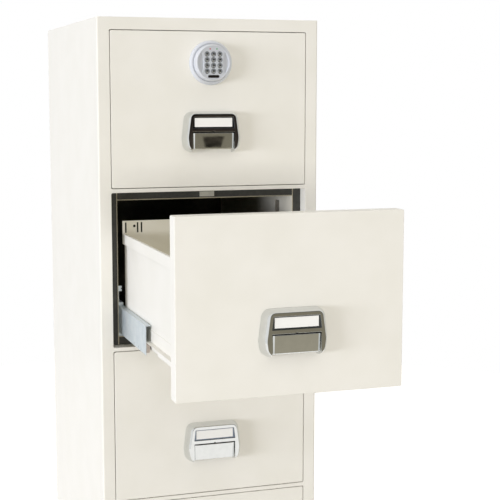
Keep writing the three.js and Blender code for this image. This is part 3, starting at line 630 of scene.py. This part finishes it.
def handleSections(v, low, high):
    depth = high.y - low.y
    bend = depth - v["edgeRun"]
    runs = [(bend * i / v["sections"], 0) for i in range(v["sections"] + 1)]
    for step in range(1, v["edgeSections"] + 1):
        k = step / v["edgeSections"]
        runs.append((bend * (1 - k) ** 2 + depth * (2 * k - k * k), v["edgeInset"] * k * k))
    return [(high.y - run, handleOutline(v, (run / depth) ** v["leanPower"], inset, high.z))
            for run, inset in runs]


def openBack(piece, backY):
    # Drops the faces that lie against the drawer
    bm = bmesh.new()
    bm.from_mesh(piece.data)
    hidden = [face for face in bm.faces if all(vertex.co.y * 1000 > backY - hair for vertex in face.verts)]
    bmesh.ops.delete(bm, geom=hidden, context="FACES_ONLY")
    bm.to_mesh(piece.data)
    bm.free()


def plateCasting(casting, v, low, high, floorY):
    # Chrome, with painted shade: darker chrome on the window's floor and dark metal on the pocket's ceiling
    # and back
    paint(casting, chromePlate, windowShadeChrome, pocketShadeMetal)
    for face in casting.data.polygons:
        c = face.center * 1000
        drop = high.z - c.z
        inWindow = abs(c.x) < v["windowBottomHalf"] and v["windowTopDrop"] < drop < v["windowBottomDrop"]
        inPocket = abs(c.x) < v["pocketHalf"] - v["pocketClear"] and c.y > low.y + v["pocketMouth"]
        atBack = c.y > high.y - v["backPlate"] - v["pocketNear"]
        # The pocket's ceiling and back get dark metal, which is painted shade
        if inPocket and drop > v["pocketDrop"] - v["pocketNear"] and (abs(face.normal.z) > 0.7 or atBack):
            face.material_index = 2
        # The window's floor gets darker chrome, which is painted shade
        elif inWindow and abs(c.y - floorY) < v["windowNear"]:
            face.material_index = 1


def makeHandle(drawer):
    v = handleShape
    node = f"handle_{drawer}"
    low, high = boxOf(node)
    top = high.z
    floorY = low.y + v["windowDepth"]
    ahead, behind = low.y - v["cutReach"], high.y + v["cutReach"]
    bm = bmesh.new()
    loftShape(bm, handleSections(v, low, high))
    casting = meshFrom(f"{node}_casting", bm)
    bm = bmesh.new()
    window = roundedPanel(v["windowBottomHalf"], v["windowTopHalf"], top - v["windowBottomDrop"],
                          top - v["windowTopDrop"], v["windowRadius"], 4)
    loftShape(bm, [(y, window) for y in (ahead, floorY)])
    pocket = bmesh.new()
    plateFace, plateEnd = high.y - v["backPlate"], top - v["plateDrop"]
    ceiling, foot = top - v["pocketDrop"], top - v["height"] - v["cutReach"]
    outline = [(ahead, foot), (behind, foot), (behind, plateEnd), (plateFace, plateEnd), (plateFace, ceiling),
               (ahead, ceiling)]
    loftShape(pocket, [(x, outline) for x in (-v["pocketHalf"], v["pocketHalf"])], across=True)
    notch = [[0, 0], [v["notchRadius"], 0], [v["notchRadius"], v["notchReach"]], [0, v["notchReach"]]]
    cutWith(casting, meshFrom("window", bm), meshFrom("pocket", pocket),
            turnedPiece("notch", notch, (0, plateFace, ceiling), (0, -1, 0), 24))
    openBack(casting, high.y)
    bevel(casting, v["cutEdge"], 2, 50)
    plateCasting(casting, v, low, high, floorY)
    settle(smooth(casting, 40), f"drawer_{drawer}", "chrome", node)
    cardLow = (-v["cardHalf"], floorY - v["cardThickness"], top - v["cardBottomDrop"])
    card = block(f"label_card_{drawer}", cardLow, (v["cardHalf"], floorY, top - v["cardTopDrop"]))
    settle(paint(smooth(bevel(card, v["cardEdge"])), labelCard), f"drawer_{drawer}")


flapShape = {"sideGap": 1, "topGap": 2.4, "thickness": 3.5, "faceSetback": 0.8, "toeRadius": 2.5, "lip": 8,
             "lipThickness": 2, "barrelRadius": 4, "axleDepth": 4.6, "height": 37.8, "lean": 4, "steps": 12,
             "barrelFrom": -10, "barrelSweep": 100, "toeTighten": 0.4, "topEdge": 1.2, "edgeSteps": 4,
             "sideEdge": [(0, 3.3), (0.1, 2.9), (0.4, 2.45), (4.1, 0.5), (4.9, 0.15), (5.8, 0)]}


def flapProfile(v, faceY, axleY, axleZ, sink):
    # The flap's outline in depth and height, from the back of its barrel round over its face to its lip
    lean = math.radians(v["lean"])
    barrel, edge = v["barrelRadius"], v["topEdge"]
    bottomZ = axleZ + barrel - v["height"]
    toeZ = bottomZ + v["toeRadius"]
    toeY = faceY + (axleZ - toeZ) * math.tan(lean)
    topZ = axleZ + barrel
    topY = faceY - barrel * math.tan(lean) + sink
    points = []
    for step in range(v["steps"] + 1):
        angle = math.radians(v["barrelFrom"] + v["barrelSweep"] * step / v["steps"])
        points.append((axleY + barrel * math.cos(angle), axleZ + barrel * math.sin(angle)))
    for step in range(v["edgeSteps"] + 1):
        angle = math.pi / 2 * step / v["edgeSteps"]
        points.append((topY + edge * (1 - math.sin(angle)), topZ - edge * (1 - math.cos(angle))))
    for step in range(v["steps"] + 1):
        angle = lean + (math.pi / 2 - lean) * step / v["steps"]
        points.append((toeY + sink + (v["toeRadius"] - sink * v["toeTighten"]) * (1 - math.cos(angle)),
                       toeZ - v["toeRadius"] * math.sin(angle)))
    return points + [(faceY + v["lip"], bottomZ), (faceY + v["lip"], bottomZ + v["lipThickness"]),
                     (toeY + v["thickness"], toeZ + v["lipThickness"])]


def makeFlap(drawer):
    # Towards its sides the flap's face sinks back, which rounds them off
    v = flapShape
    h = handleShape
    node = f"handle_flap_{drawer}"
    handleLow, handleHigh = boxOf(f"handle_{drawer}")
    half = h["pocketHalf"] - v["sideGap"]
    axleZ = handleHigh.z - h["pocketDrop"] - v["topGap"] - v["barrelRadius"]
    sections = [(half - run, sink) for run, sink in v["sideEdge"]]
    sections += [(-x, sink) for x, sink in reversed(sections)]
    bm = bmesh.new()
    faceY, axleY = handleLow.y + v["faceSetback"], handleLow.y + v["axleDepth"]
    loftShape(bm, [(x, flapProfile(v, faceY, axleY, axleZ, sink)) for x, sink in sections], across=True)
    flap = keepInside(meshFrom(f"{node}_plate", bm), node)
    settle(paint(smooth(flap, 40), chromePlate), f"flap_{drawer}", "chrome", node)


for drawer in drawers:
    makeHandle(drawer)
    makeFlap(drawer)
print("handles made")


# Screws, set out in rows by a node tree

def makeRowTree():
    # A row of copies of a shape from a start point, one step apart, each turned by chance about its own axis
    tree = bpy.data.node_groups.new("row of copies", "GeometryNodeTree")
    sockets = {"Shape": "Object", "Count": "Int", "Start": "Vector", "Step": "Vector", "Aim": "Vector",
               "Turn": "Float", "Seed": "Int", "Finish": "Material"}
    for name, kind in sockets.items():
        tree.interface.new_socket(name=name, in_out="INPUT", socket_type="NodeSocket" + kind)
    tree.interface.new_socket(name="Geometry", in_out="OUTPUT", socket_type="NodeSocketGeometry")
    given = addNode(tree, "NodeGroupInput").outputs
    line = addNode(tree, "GeometryNodeMeshLine", links={
        "Count": given["Count"], "Start Location": given["Start"], "Offset": given["Step"]})
    shape = addNode(tree, "GeometryNodeObjectInfo", links={"Object": given["Shape"]})
    placed = addNode(tree, "GeometryNodeInstanceOnPoints", links={
        "Points": line.outputs[0], "Instance": shape.outputs["Geometry"], "Rotation": given["Aim"]})
    chance = addNode(tree, "FunctionNodeRandomValue", {2: 0.0}, {3: given["Turn"], "Seed": given["Seed"]})
    spin = addNode(tree, "ShaderNodeCombineXYZ", links={"Z": chance.outputs[1]})
    turned = addNode(tree, "GeometryNodeRotateInstances", links={"Instances": placed.outputs[0],
                                                                 "Rotation": spin.outputs[0]})
    real = addNode(tree, "GeometryNodeRealizeInstances", links={0: turned.outputs[0]})
    finished = addNode(tree, "GeometryNodeSetMaterial", links={"Geometry": real.outputs[0],
                                                              "Material": given["Finish"]})
    addNode(tree, "NodeGroupOutput", links={0: finished.outputs[0]})
    return tree, {item.name: item.identifier for item in tree.interface.items_tree if item.in_out == "INPUT"}


rowTree, rowInputs = makeRowTree()
screwShape = {"panRadius": 4, "panHeight": 1.6, "panShoulder": 2.6, "panSteps": 6, "panSink": 0.4,
              "flatRadius": 3.8, "flatDepth": 2, "flatEdge": 0.15, "flatSink": 0.1,
              "crossLength": 4, "crossWidth": 0.9, "crossDepth": 1, "segments": 32}


def makeScrew(kind):
    # A head that stands on z = 0, or is sunk just below it, with a cross recess
    v = screwShape
    if kind == "pan":
        rise = v["panHeight"]
        profile = [[0, -v["panSink"]], [v["panRadius"], -v["panSink"]]]
        profile += arc(v["panRadius"], rise, v["panShoulder"], rise, v["panSteps"]) + [[0, rise]]
    else:
        rise = -v["flatSink"]
        profile = [[0, -v["flatDepth"]], [v["flatRadius"] - v["flatDepth"], -v["flatDepth"]],
                   [v["flatRadius"] - v["flatEdge"], -v["flatEdge"]],
                   [v["flatRadius"] - 2 * v["flatEdge"], rise], [0, rise]]
    screw = turnedPiece(f"{kind}_screw", profile, (0, 0, 0), (0, 0, 1), v["segments"])
    half, wide = v["crossLength"] / 2, v["crossWidth"] / 2
    return cutWith(screw, block("slot", (-half, -wide, rise - v["crossDepth"]), (half, wide, rise + 1)),
                   block("slot", (-wide, -half, rise - v["crossDepth"]), (wide, half, rise + 1)))


def makeRows(name, shape, material, aim, seed, rows):
    # Each row is [count, start, step], and takes the next seed
    pieces = []
    for index, (count, start, step) in enumerate(rows):
        row = meshFrom(f"{name}_{index}", bmesh.new())
        modifier = row.modifiers.new("row", "NODES")
        modifier.node_group = rowTree
        values = {"Shape": shape, "Count": count, "Start": [mm(c) for c in start],
                  "Step": [mm(c) for c in step], "Aim": aim, "Turn": 2 * math.pi, "Seed": seed + index,
                  "Finish": material}
        for key, value in values.items():
            modifier[rowInputs[key]] = value
        pieces.append(bake(row))
    return joinInto(pieces[0], pieces[1:])


fittingShape = {"sink": 0.5, "capRadius": 4, "capHeight": 1.5, "capShoulder": 2.5, "capBack": 142.5,
                "capDrop": 31.6, "linerSheet": 2, "plugRadius": 3.5, "plugHeight": 0.6, "plugShoulder": 1.2,
                "plugBack": 306, "plugRise": 38.9, "trayHalf": 199.4}


def makeFittings(drawer):
    # A painted cap over the lock bar's slot, and a dark plug on each wall of the tray under its runner
    v = fittingShape
    low, high = boxOf(f"liner_{drawer}")
    cabinetFront = cadHigh.y * -1000
    profile = [[0, -v["sink"]], [v["capRadius"], -v["sink"]]]
    profile += arc(v["capRadius"], v["capHeight"], v["capShoulder"], v["capHeight"], 6)
    place = (high.x - v["linerSheet"], cabinetFront + v["capBack"], high.z - v["capDrop"])
    cap = turnedPiece(f"bar_cap_{drawer}", profile, place, (-1, 0, 0), 32)
    settle(paint(smooth(cap, 60), linerPaint), "cabinet")
    low, high = boxOf(f"tray_{drawer}")
    profile = [[0, -v["sink"]], [v["plugRadius"], -v["sink"]]]
    profile += arc(v["plugRadius"], v["plugHeight"], v["plugShoulder"], v["plugHeight"], 4)
    profile += [[0, v["plugHeight"]]]
    y, z = low.y + v["plugBack"], low.z + v["plugRise"]
    plugs = [turnedPiece(f"tray_plug_{drawer}", profile, (side * v["trayHalf"], y, z), (side, 0, 0), 32)
             for side in (-1, 1)]
    settle(paint(smooth(joinInto(plugs[0], plugs[1:]), 60), blackPlastic), f"drawer_{drawer}")


screwRows = {"inset": 9, "sideCount": 8, "sideRise": 30, "sidePitch": 208, "endCount": 3, "endPitch": 156,
             "slideCount": 4, "slideStart": 110, "slideDrop": 19, "slidePitch": 130,
             "headCount": 4, "headStart": -150, "headDrops": (60, 290), "headPitch": 100,
             "backSeed": 1, "slideSeed": 20, "headSeed": 40}


def makeScrews():
    v = screwRows
    pan, flat = makeScrew("pan"), makeScrew("flat")
    rearward = (-math.pi / 2, 0, 0)
    low, high = boxOf("back_panel")
    inset = v["inset"]
    rows = [[v["sideCount"], (side * (high.x - inset), high.y, low.z + v["sideRise"]), (0, 0, v["sidePitch"])]
            for side in (-1, 1)]
    rows += [[v["endCount"], (-v["endPitch"], high.y, z), (v["endPitch"], 0, 0)]
             for z in (low.z + inset, high.z - inset)]
    screws = makeRows("back_screw", flat, zincPlate, rearward, v["backSeed"], rows)
    settle(smooth(screws, 40), "cabinet", "zinc")
    for side in (-1, 1):
        rows = []
        for drawer in drawers:
            low, high = boxOf(f"fixed_slide_right_{drawer}")
            web = side * (high.x - slideShape["fixedSheet"])
            rows.append([v["slideCount"], (web, low.y + v["slideStart"], high.z - v["slideDrop"]),
                         (0, v["slidePitch"], 0)])
        inward = (0, -side * math.pi / 2, 0)
        screws = makeRows(f"slide_screw_{side}", pan, zincPlate, inward, v["slideSeed"], rows)
        settle(smooth(screws, 40), "cabinet", "zinc")
    for drawer in drawers:
        low, high = boxOf(f"tray_{drawer}")
        plate = low.y + slideShape["headPlate"]
        rows = [[v["headCount"], (v["headStart"], plate, high.z - drop), (v["headPitch"], 0, 0)]
                for drop in v["headDrops"]]
        screws = makeRows(f"head_screw_{drawer}", pan, zincPlate, rearward, v["headSeed"] + drawer, rows)
        settle(smooth(screws, 40), f"drawer_{drawer}", "zinc")
    for shape in (pan, flat):
        bpy.data.objects.remove(shape)


makeScrews()
for drawer in drawers:
    makeFittings(drawer)
print("screws and fittings set")


# Keypad lock

lockShape = {"baseRadius": 51, "baseHeight": 9, "shoulder": 6.8, "baseEdge": 1.8, "knobRadius": 43,
             "knobGap": 0.5, "knobLift": 0.3, "seat": 6, "seatEdge": 0.7, "height": 28, "faceRadius": 39.5,
             "crownDrop": 0.2, "crownInset": 0.4, "rimWidth": 2, "rimDrop": 1,
             "rimCurve": [(0.5, 0), (0.2, 0.15)], "scoopWaist": 22.5, "scoopRadius": 62, "scoopRim": 0.6,
             "scoopWalls": [(0, 0), (0.3, 0.2), (0.5, 0.6), (1.8, 4.5)],
             "wellRadius": 5.9, "wellEdge": 0.3, "wellDepth": 3, "wellPaint": 0.5,
             "keysHalf": 22, "keysTall": 26, "keysDrop": 0.4,
             "lampOffset": 8, "lampRise": 31, "lampRadius": 1.6, "lampProud": 0.6, "lampSink": 1,
             "badgeDrop": 31.3, "badgeHalf": 13.5, "badgeHeight": 6.4, "badgeThickness": 0.5,
             "badgeSink": 0.3, "badgeEdge": 0.2}


def lockCentre():
    low, high = boxOf("lock_base")
    return Vector((0, high.y, (low.z + high.z) / 2))


def makeLockBase():
    v = lockShape
    hole = v["knobRadius"] + v["knobGap"]
    profile = [[0, 0], [v["baseRadius"], 0]]
    profile += arc(v["baseRadius"], v["baseHeight"], v["shoulder"], v["baseHeight"] - v["baseEdge"], 12)
    profile += [[hole, v["baseHeight"]], [hole, v["seat"]], [0, v["seat"]]]
    base = bevel(turnedPiece("lock_base_ring", profile, lockCentre(), (0, -1, 0), 128), v["seatEdge"], 3, 40)
    settle(paint(smooth(base, 40), satinSilver), "drawer_1", "satin_silver", "lock_base")


def circlePoints(x, z, radius, steps, start=0.0, sweep=2 * math.pi):
    full = abs(sweep) > 2 * math.pi - 1e-6
    angles = [start + sweep * i / (steps if full else steps - 1) for i in range(steps)]
    return [Vector((x + radius * math.cos(a), z + radius * math.sin(a))) for a in angles]


def scoopOutline(v, side, step):
    # The finger scoop lies between the rim and a large arc; step draws it in from both
    rim = v["faceRadius"] - v["rimWidth"] - v["scoopRim"] - step
    far = v["scoopWaist"] + v["scoopRadius"]
    inner = v["scoopRadius"] - step
    meet = math.acos((far * far + rim * rim - inner * inner) / (2 * far * rim))
    back = math.acos((far * far + inner * inner - rim * rim) / (2 * far * inner))
    outside = circlePoints(0, 0, rim, 24, -meet, 2 * meet)
    inside = circlePoints(far, 0, inner, 24, math.pi - back, 2 * back)
    return [Vector((side * p.x, p.y)) for p in outside + inside[1:-1]]


def sinkHole(bm, centre, outlines):
    # Walls from one outline and height to the next, and a floor in the last
    x, y, z = centre
    rings = [[bm.verts.new(Vector((x + p.x, y - height, z + p.y)) / 1000) for p in outline]
             for height, outline in outlines]
    skinRings(bm, rings, rings[-1:])


def makeKnob():
    # The rim is turned, the scoops and key wells are sunk from it, and the panel fills what lies between them
    v = lockShape
    centre = lockCentre()
    height = v["height"]
    rimInner = v["faceRadius"] - v["rimWidth"]
    panel = height - v["rimDrop"]
    bottom = v["seat"] + v["knobLift"]
    profile = [[0, bottom]] + arc(v["knobRadius"], height - v["crownDrop"], v["knobRadius"] - v["faceRadius"],
                                  height - v["crownDrop"] - bottom, 14)
    profile += [[v["faceRadius"] - v["crownInset"], height]]
    profile += [[rimInner + across, height - drop] for across, drop in v["rimCurve"]] + [[rimInner, panel]]
    bm = bmesh.new()
    turnedShape(bm, profile, centre, (0, -1, 0), 128)
    for side in (-1, 1):
        sinkHole(bm, centre, [(panel - sink, scoopOutline(v, side, step)) for step, sink in v["scoopWalls"]])
    wellWalls = [(v["wellRadius"] + v["wellEdge"], 0), (v["wellRadius"], v["wellEdge"]),
                 (v["wellRadius"], v["wellDepth"])]
    for button in range(1, 13):
        low, high = boxOf(f"button_{button}")
        middle = (low + high) / 2 - centre
        sinkHole(bm, centre, [(panel - sink, circlePoints(middle.x, middle.z, radius, 40))
                              for radius, sink in wellWalls])
    bmesh.ops.remove_doubles(bm, verts=bm.verts, dist=1e-6)
    edges = [edge for edge in bm.edges if edge.is_boundary]
    bmesh.ops.triangle_fill(bm, use_beauty=True, edges=edges)
    bmesh.ops.recalc_face_normals(bm, faces=bm.faces)
    knob = paint(meshFrom("lock_knob_body", bm), satinSilver, blackPlastic)
    for face in knob.data.polygons:
        c = face.center * 1000 - centre
        depth = panel + c.y
        inKeys = abs(c.x) < v["keysHalf"] and abs(c.z + v["keysDrop"]) < v["keysTall"]
        face.material_index = 1 if inKeys and v["wellPaint"] < depth < v["wellDepth"] + 0.1 else 0
    settle(smooth(knob, 35), "knob", "satin_silver", "lock_knob")


buttonShape = {"radius": 5.2, "domeHeight": 2, "steps": 10}


def makeButton(number):
    # A plain disc under a dome cut from a ball
    v = buttonShape
    low, high = boxOf(f"button_{number}")
    middle = (low + high) / 2
    top = high.y - low.y
    centre = (middle.x, high.y, middle.z)
    ball = (v["radius"] ** 2 + v["domeHeight"] ** 2) / (2 * v["domeHeight"])
    reach = math.asin(v["radius"] / ball)
    angles = [reach * (1 - i / v["steps"]) for i in range(v["steps"] + 1)]
    dome = [[ball * math.sin(a), top - ball * (1 - math.cos(a))] for a in angles]
    profile = [[0, 0], [v["radius"], 0]] + dome
    button = turnedPiece(f"push_button_{number}", profile, centre, (0, -1, 0), 48)
    settle(paint(smooth(button, 50), buttonChrome), f"key_{number}", "chrome", f"button_{number}")


def makeLampsAndBadge():
    v = lockShape
    centre = lockCentre()
    panel = v["height"] - v["rimDrop"]
    for name, side, material in (("lamp_red", -1, redLamp), ("lamp_green", 1, greenLamp)):
        place = centre + Vector((side * v["lampOffset"], 0, v["lampRise"]))
        foot = panel - v["lampSink"]
        profile = [[0, foot], [v["lampRadius"], foot]]
        profile += arc(v["lampRadius"], panel + v["lampProud"], v["lampRadius"], v["lampProud"], 8)
        lamp = turnedPiece(name, profile, place, (0, -1, 0), 32)
        settle(paint(smooth(lamp, 60), material), "knob")
    middle, rise = centre.z - v["badgeDrop"], v["badgeHeight"] / 2
    outline = roundedPanel(v["badgeHalf"], v["badgeHalf"], middle - rise, middle + rise, rise - hair, 10)
    bm = bmesh.new()
    loftShape(bm, [(centre.y - panel - proud, outline) for proud in (-v["badgeSink"], v["badgeThickness"])])
    badge = meshFrom("knob_badge", bm)
    settle(paint(smooth(bevel(badge, v["badgeEdge"], 2, 40)), blackPlastic), "knob")


makeLockBase()
makeKnob()
for number in range(1, 13):
    makeButton(number)
makeLampsAndBadge()
print("lock made")


# Stage: a pale floor, a surround, a dark card and soft studio lamps

stageLook = {"floorHex": "#bcbab6", "floorLift": 0.68, "floorRadius": 3000, "floorSink": 0.5,
             "spans": {"rise": ("Z", -1, 1), "side": ("X", -0.3, -0.6), "rear": ("Y", -0.55, -0.3),
                       "overFloor": ("Z", -0.13, -0.06)},
             "fill": 0.82,
             "fillBands": [(-0.1, "#bcbab4"), (-0.05, "#4a4640"), (0.2, "#4a4640"), (0.4, "#fffdf8")],
             "fillOpen": [(-0.1, "#bcbab4"), (-0.05, "#63625f"), (0.25, "#63625f"), (0.45, "#fffdf8")],
             "mirror": 1.05,
             "mirrorBands": [(-1, "#aaa492"), (-0.32, "#a6a08e"), (-0.2, "#878170"), (-0.1, "#7a7465"),
                             (-0.06, "#3d3731"), (-0.02, "#231f1c"), (0.3, "#35302b"), (0.55, "#77756f"),
                             (1, "#d8d8d6")],
             "mirrorOpen": [(-1, "#f4f4f2"), (1, "#f4f4f2")],
             "clutterScale": 30, "clutter": 0.9,
             "darkCard": {"place": (0.678, -2.6, 0.832), "topHalf": 0.052, "bottomHalf": 0.038,
                          "height": 0.052, "hexes": ("#1c1914", "#58524a")},
             "lampAim": (0, -0.5, 0.9),
             "lamps": {
                 "key softbox": {"power": 2150, "width": 9.6, "height": 3.0, "place": (-16.2, -5.6, 1.2),
                                 "hex": "#f0f4ff"},
                 "front softbox": {"power": 232, "width": 3.6, "height": 1.4, "place": (-0.6, -8.5, 0.8),
                                   "hex": "#fffdf8"},
                 "rear softbox": {"power": 230, "width": 4, "height": 2, "place": (2.5, 8, 3.2),
                                  "hex": "#fffdf8"}}}


def makeFloor(v):
    # Lifted towards white for the camera and in polished metal, and plain grey for all other light
    material, tree = newMaterial("stage floor")
    path = addNode(tree, "ShaderNodeLightPath")
    clear = addNode(tree, "ShaderNodeMath", links={
        0: path.outputs["Is Camera Ray"], 1: path.outputs["Is Glossy Ray"]}, operation="MAXIMUM")
    plain = addNode(tree, "ShaderNodeBsdfDiffuse", {"Color": linear(v["floorHex"])})
    lift = addNode(tree, "ShaderNodeEmission", {"Color": (1, 1, 1, 1), "Strength": v["floorLift"]})
    lifted = addNode(tree, "ShaderNodeAddShader", links={0: plain.outputs[0], 1: lift.outputs[0]})
    seen = addNode(tree, "ShaderNodeMixShader", links={
        "Fac": clear.outputs[0], 1: plain.outputs[0], 2: lifted.outputs[0]})
    addNode(tree, "ShaderNodeOutputMaterial", links={"Surface": seen.outputs[0]})
    bm = bmesh.new()
    bmesh.ops.create_circle(bm, cap_ends=True, radius=mm(v["floorRadius"]), segments=96)
    floor = meshFrom("floor", bm)
    floor.location.z = mm(-v["floorSink"])
    floor.data.materials.append(material)


def makeSurround(v):
    # The camera sees white. Matt and polished surfaces each get a surround of their own, pale to the left
    # and behind. In front it is darkest just over the floor, which keeps the open bay dim, and the part that
    # polished metal mirrors there is also uneven, as a room is.
    world = bpy.data.worlds.new("surround")
    world.use_nodes = True
    tree = world.node_tree
    tree.nodes.clear()
    bpy.context.scene.world = world
    path = addNode(tree, "ShaderNodeLightPath")
    coords = addNode(tree, "ShaderNodeTexCoord")
    axes = addNode(tree, "ShaderNodeSeparateXYZ", links={0: coords.outputs["Generated"]})
    spans = {name: addNode(tree, "ShaderNodeMapRange", {"From Min": start, "From Max": end},
                           {"Value": axes.outputs[axis]}).outputs[0]
             for name, (axis, start, end) in v["spans"].items()}
    bright = addNode(tree, "ShaderNodeMath", links={0: spans["side"], 1: spans["rear"]}, operation="MAXIMUM")
    things = addNode(tree, "ShaderNodeTexNoise", {"Scale": v["clutterScale"], "Detail": 3},
                     {"Vector": coords.outputs["Generated"]})
    uneven = addNode(tree, "ShaderNodeMapRange", {
        "From Min": 0.35, "From Max": 0.65, "To Min": 1 - v["clutter"], "To Max": 1 + v["clutter"]},
        {"Value": things.outputs["Fac"]})
    lights = []
    for kind in ("fill", "mirror"):
        front, side = [
            colourBands(tree, spans["rise"], [((height + 1) / 2, colour) for height, colour in v[bands]])
            for bands in (kind + "Bands", kind + "Open")]
        if kind == "mirror":
            front = addNode(tree, "ShaderNodeMixRGB", links={
                0: spans["overFloor"], 1: front, 2: uneven.outputs[0]}, blend_type="MULTIPLY").outputs[0]
        colour = addNode(tree, "ShaderNodeMixRGB", links={0: bright.outputs[0], 1: front, 2: side})
        lights.append(addNode(tree, "ShaderNodeBackground", {"Strength": v[kind]}, {
            "Color": colour.outputs[0]}))
    white = addNode(tree, "ShaderNodeBackground", {"Color": (1, 1, 1, 1), "Strength": 1})
    lit = addNode(tree, "ShaderNodeMixShader", links={
        "Fac": path.outputs["Is Glossy Ray"], 1: lights[0].outputs[0], 2: lights[1].outputs[0]})
    clear = addNode(tree, "ShaderNodeMath", links={
        0: path.outputs["Is Camera Ray"], 1: path.outputs["Is Transmission Ray"]}, operation="MAXIMUM")
    seen = addNode(tree, "ShaderNodeMixShader", links={
        "Fac": clear.outputs[0], 1: lit.outputs[0], 2: white.outputs[0]})
    addNode(tree, "ShaderNodeOutputWorld", links={"Surface": seen.outputs[0]})


def makeLamp(name, v, target):
    data = bpy.data.lights.new(name, "AREA")
    data.energy = v["power"]
    data.shape = "RECTANGLE"
    data.size = v["width"]
    data.size_y = v["height"]
    data.color = linear(v["hex"])[:3]
    lamp = bpy.data.objects.new(name, data)
    lamp.location = v["place"]
    lamp.visible_glossy = False
    aim = Vector(target) - lamp.location
    lamp.rotation_euler = aim.to_track_quat("-Z", "Y").to_euler()
    bpy.context.collection.objects.link(lamp)


def makeDarkCard(v):
    # A dark card hung beside the camera, which only polished metal shows
    bm = bmesh.new()
    x, y, z = v["place"]
    rise = v["height"] / 2
    corners = [(-v["topHalf"], rise), (v["topHalf"], rise),
               (v["bottomHalf"], -rise), (-v["bottomHalf"], -rise)]
    bm.faces.new([bm.verts.new((x + across, y, z + up)) for across, up in corners])
    card = meshFrom("dark_card", bm)
    material, tree = newMaterial("black flocked card")
    nap = addNode(tree, "ShaderNodeBsdfDiffuse", links={
        "Color": twoTone(tree, noise(tree, 30, stretch=(0.25, 1, 1)), *v["hexes"])})
    addNode(tree, "ShaderNodeOutputMaterial", links={"Surface": nap.outputs[0]})
    paint(card, material)
    card.visible_camera = False
    card.visible_diffuse = False
    card.visible_shadow = False


makeFloor(stageLook)
makeDarkCard(stageLook["darkCard"])
makeSurround(stageLook)
for name, v in stageLook["lamps"].items():
    makeLamp(name, v, stageLook["lampAim"])
bpy.context.scene.view_settings.view_transform = "Standard"
print("stage set")
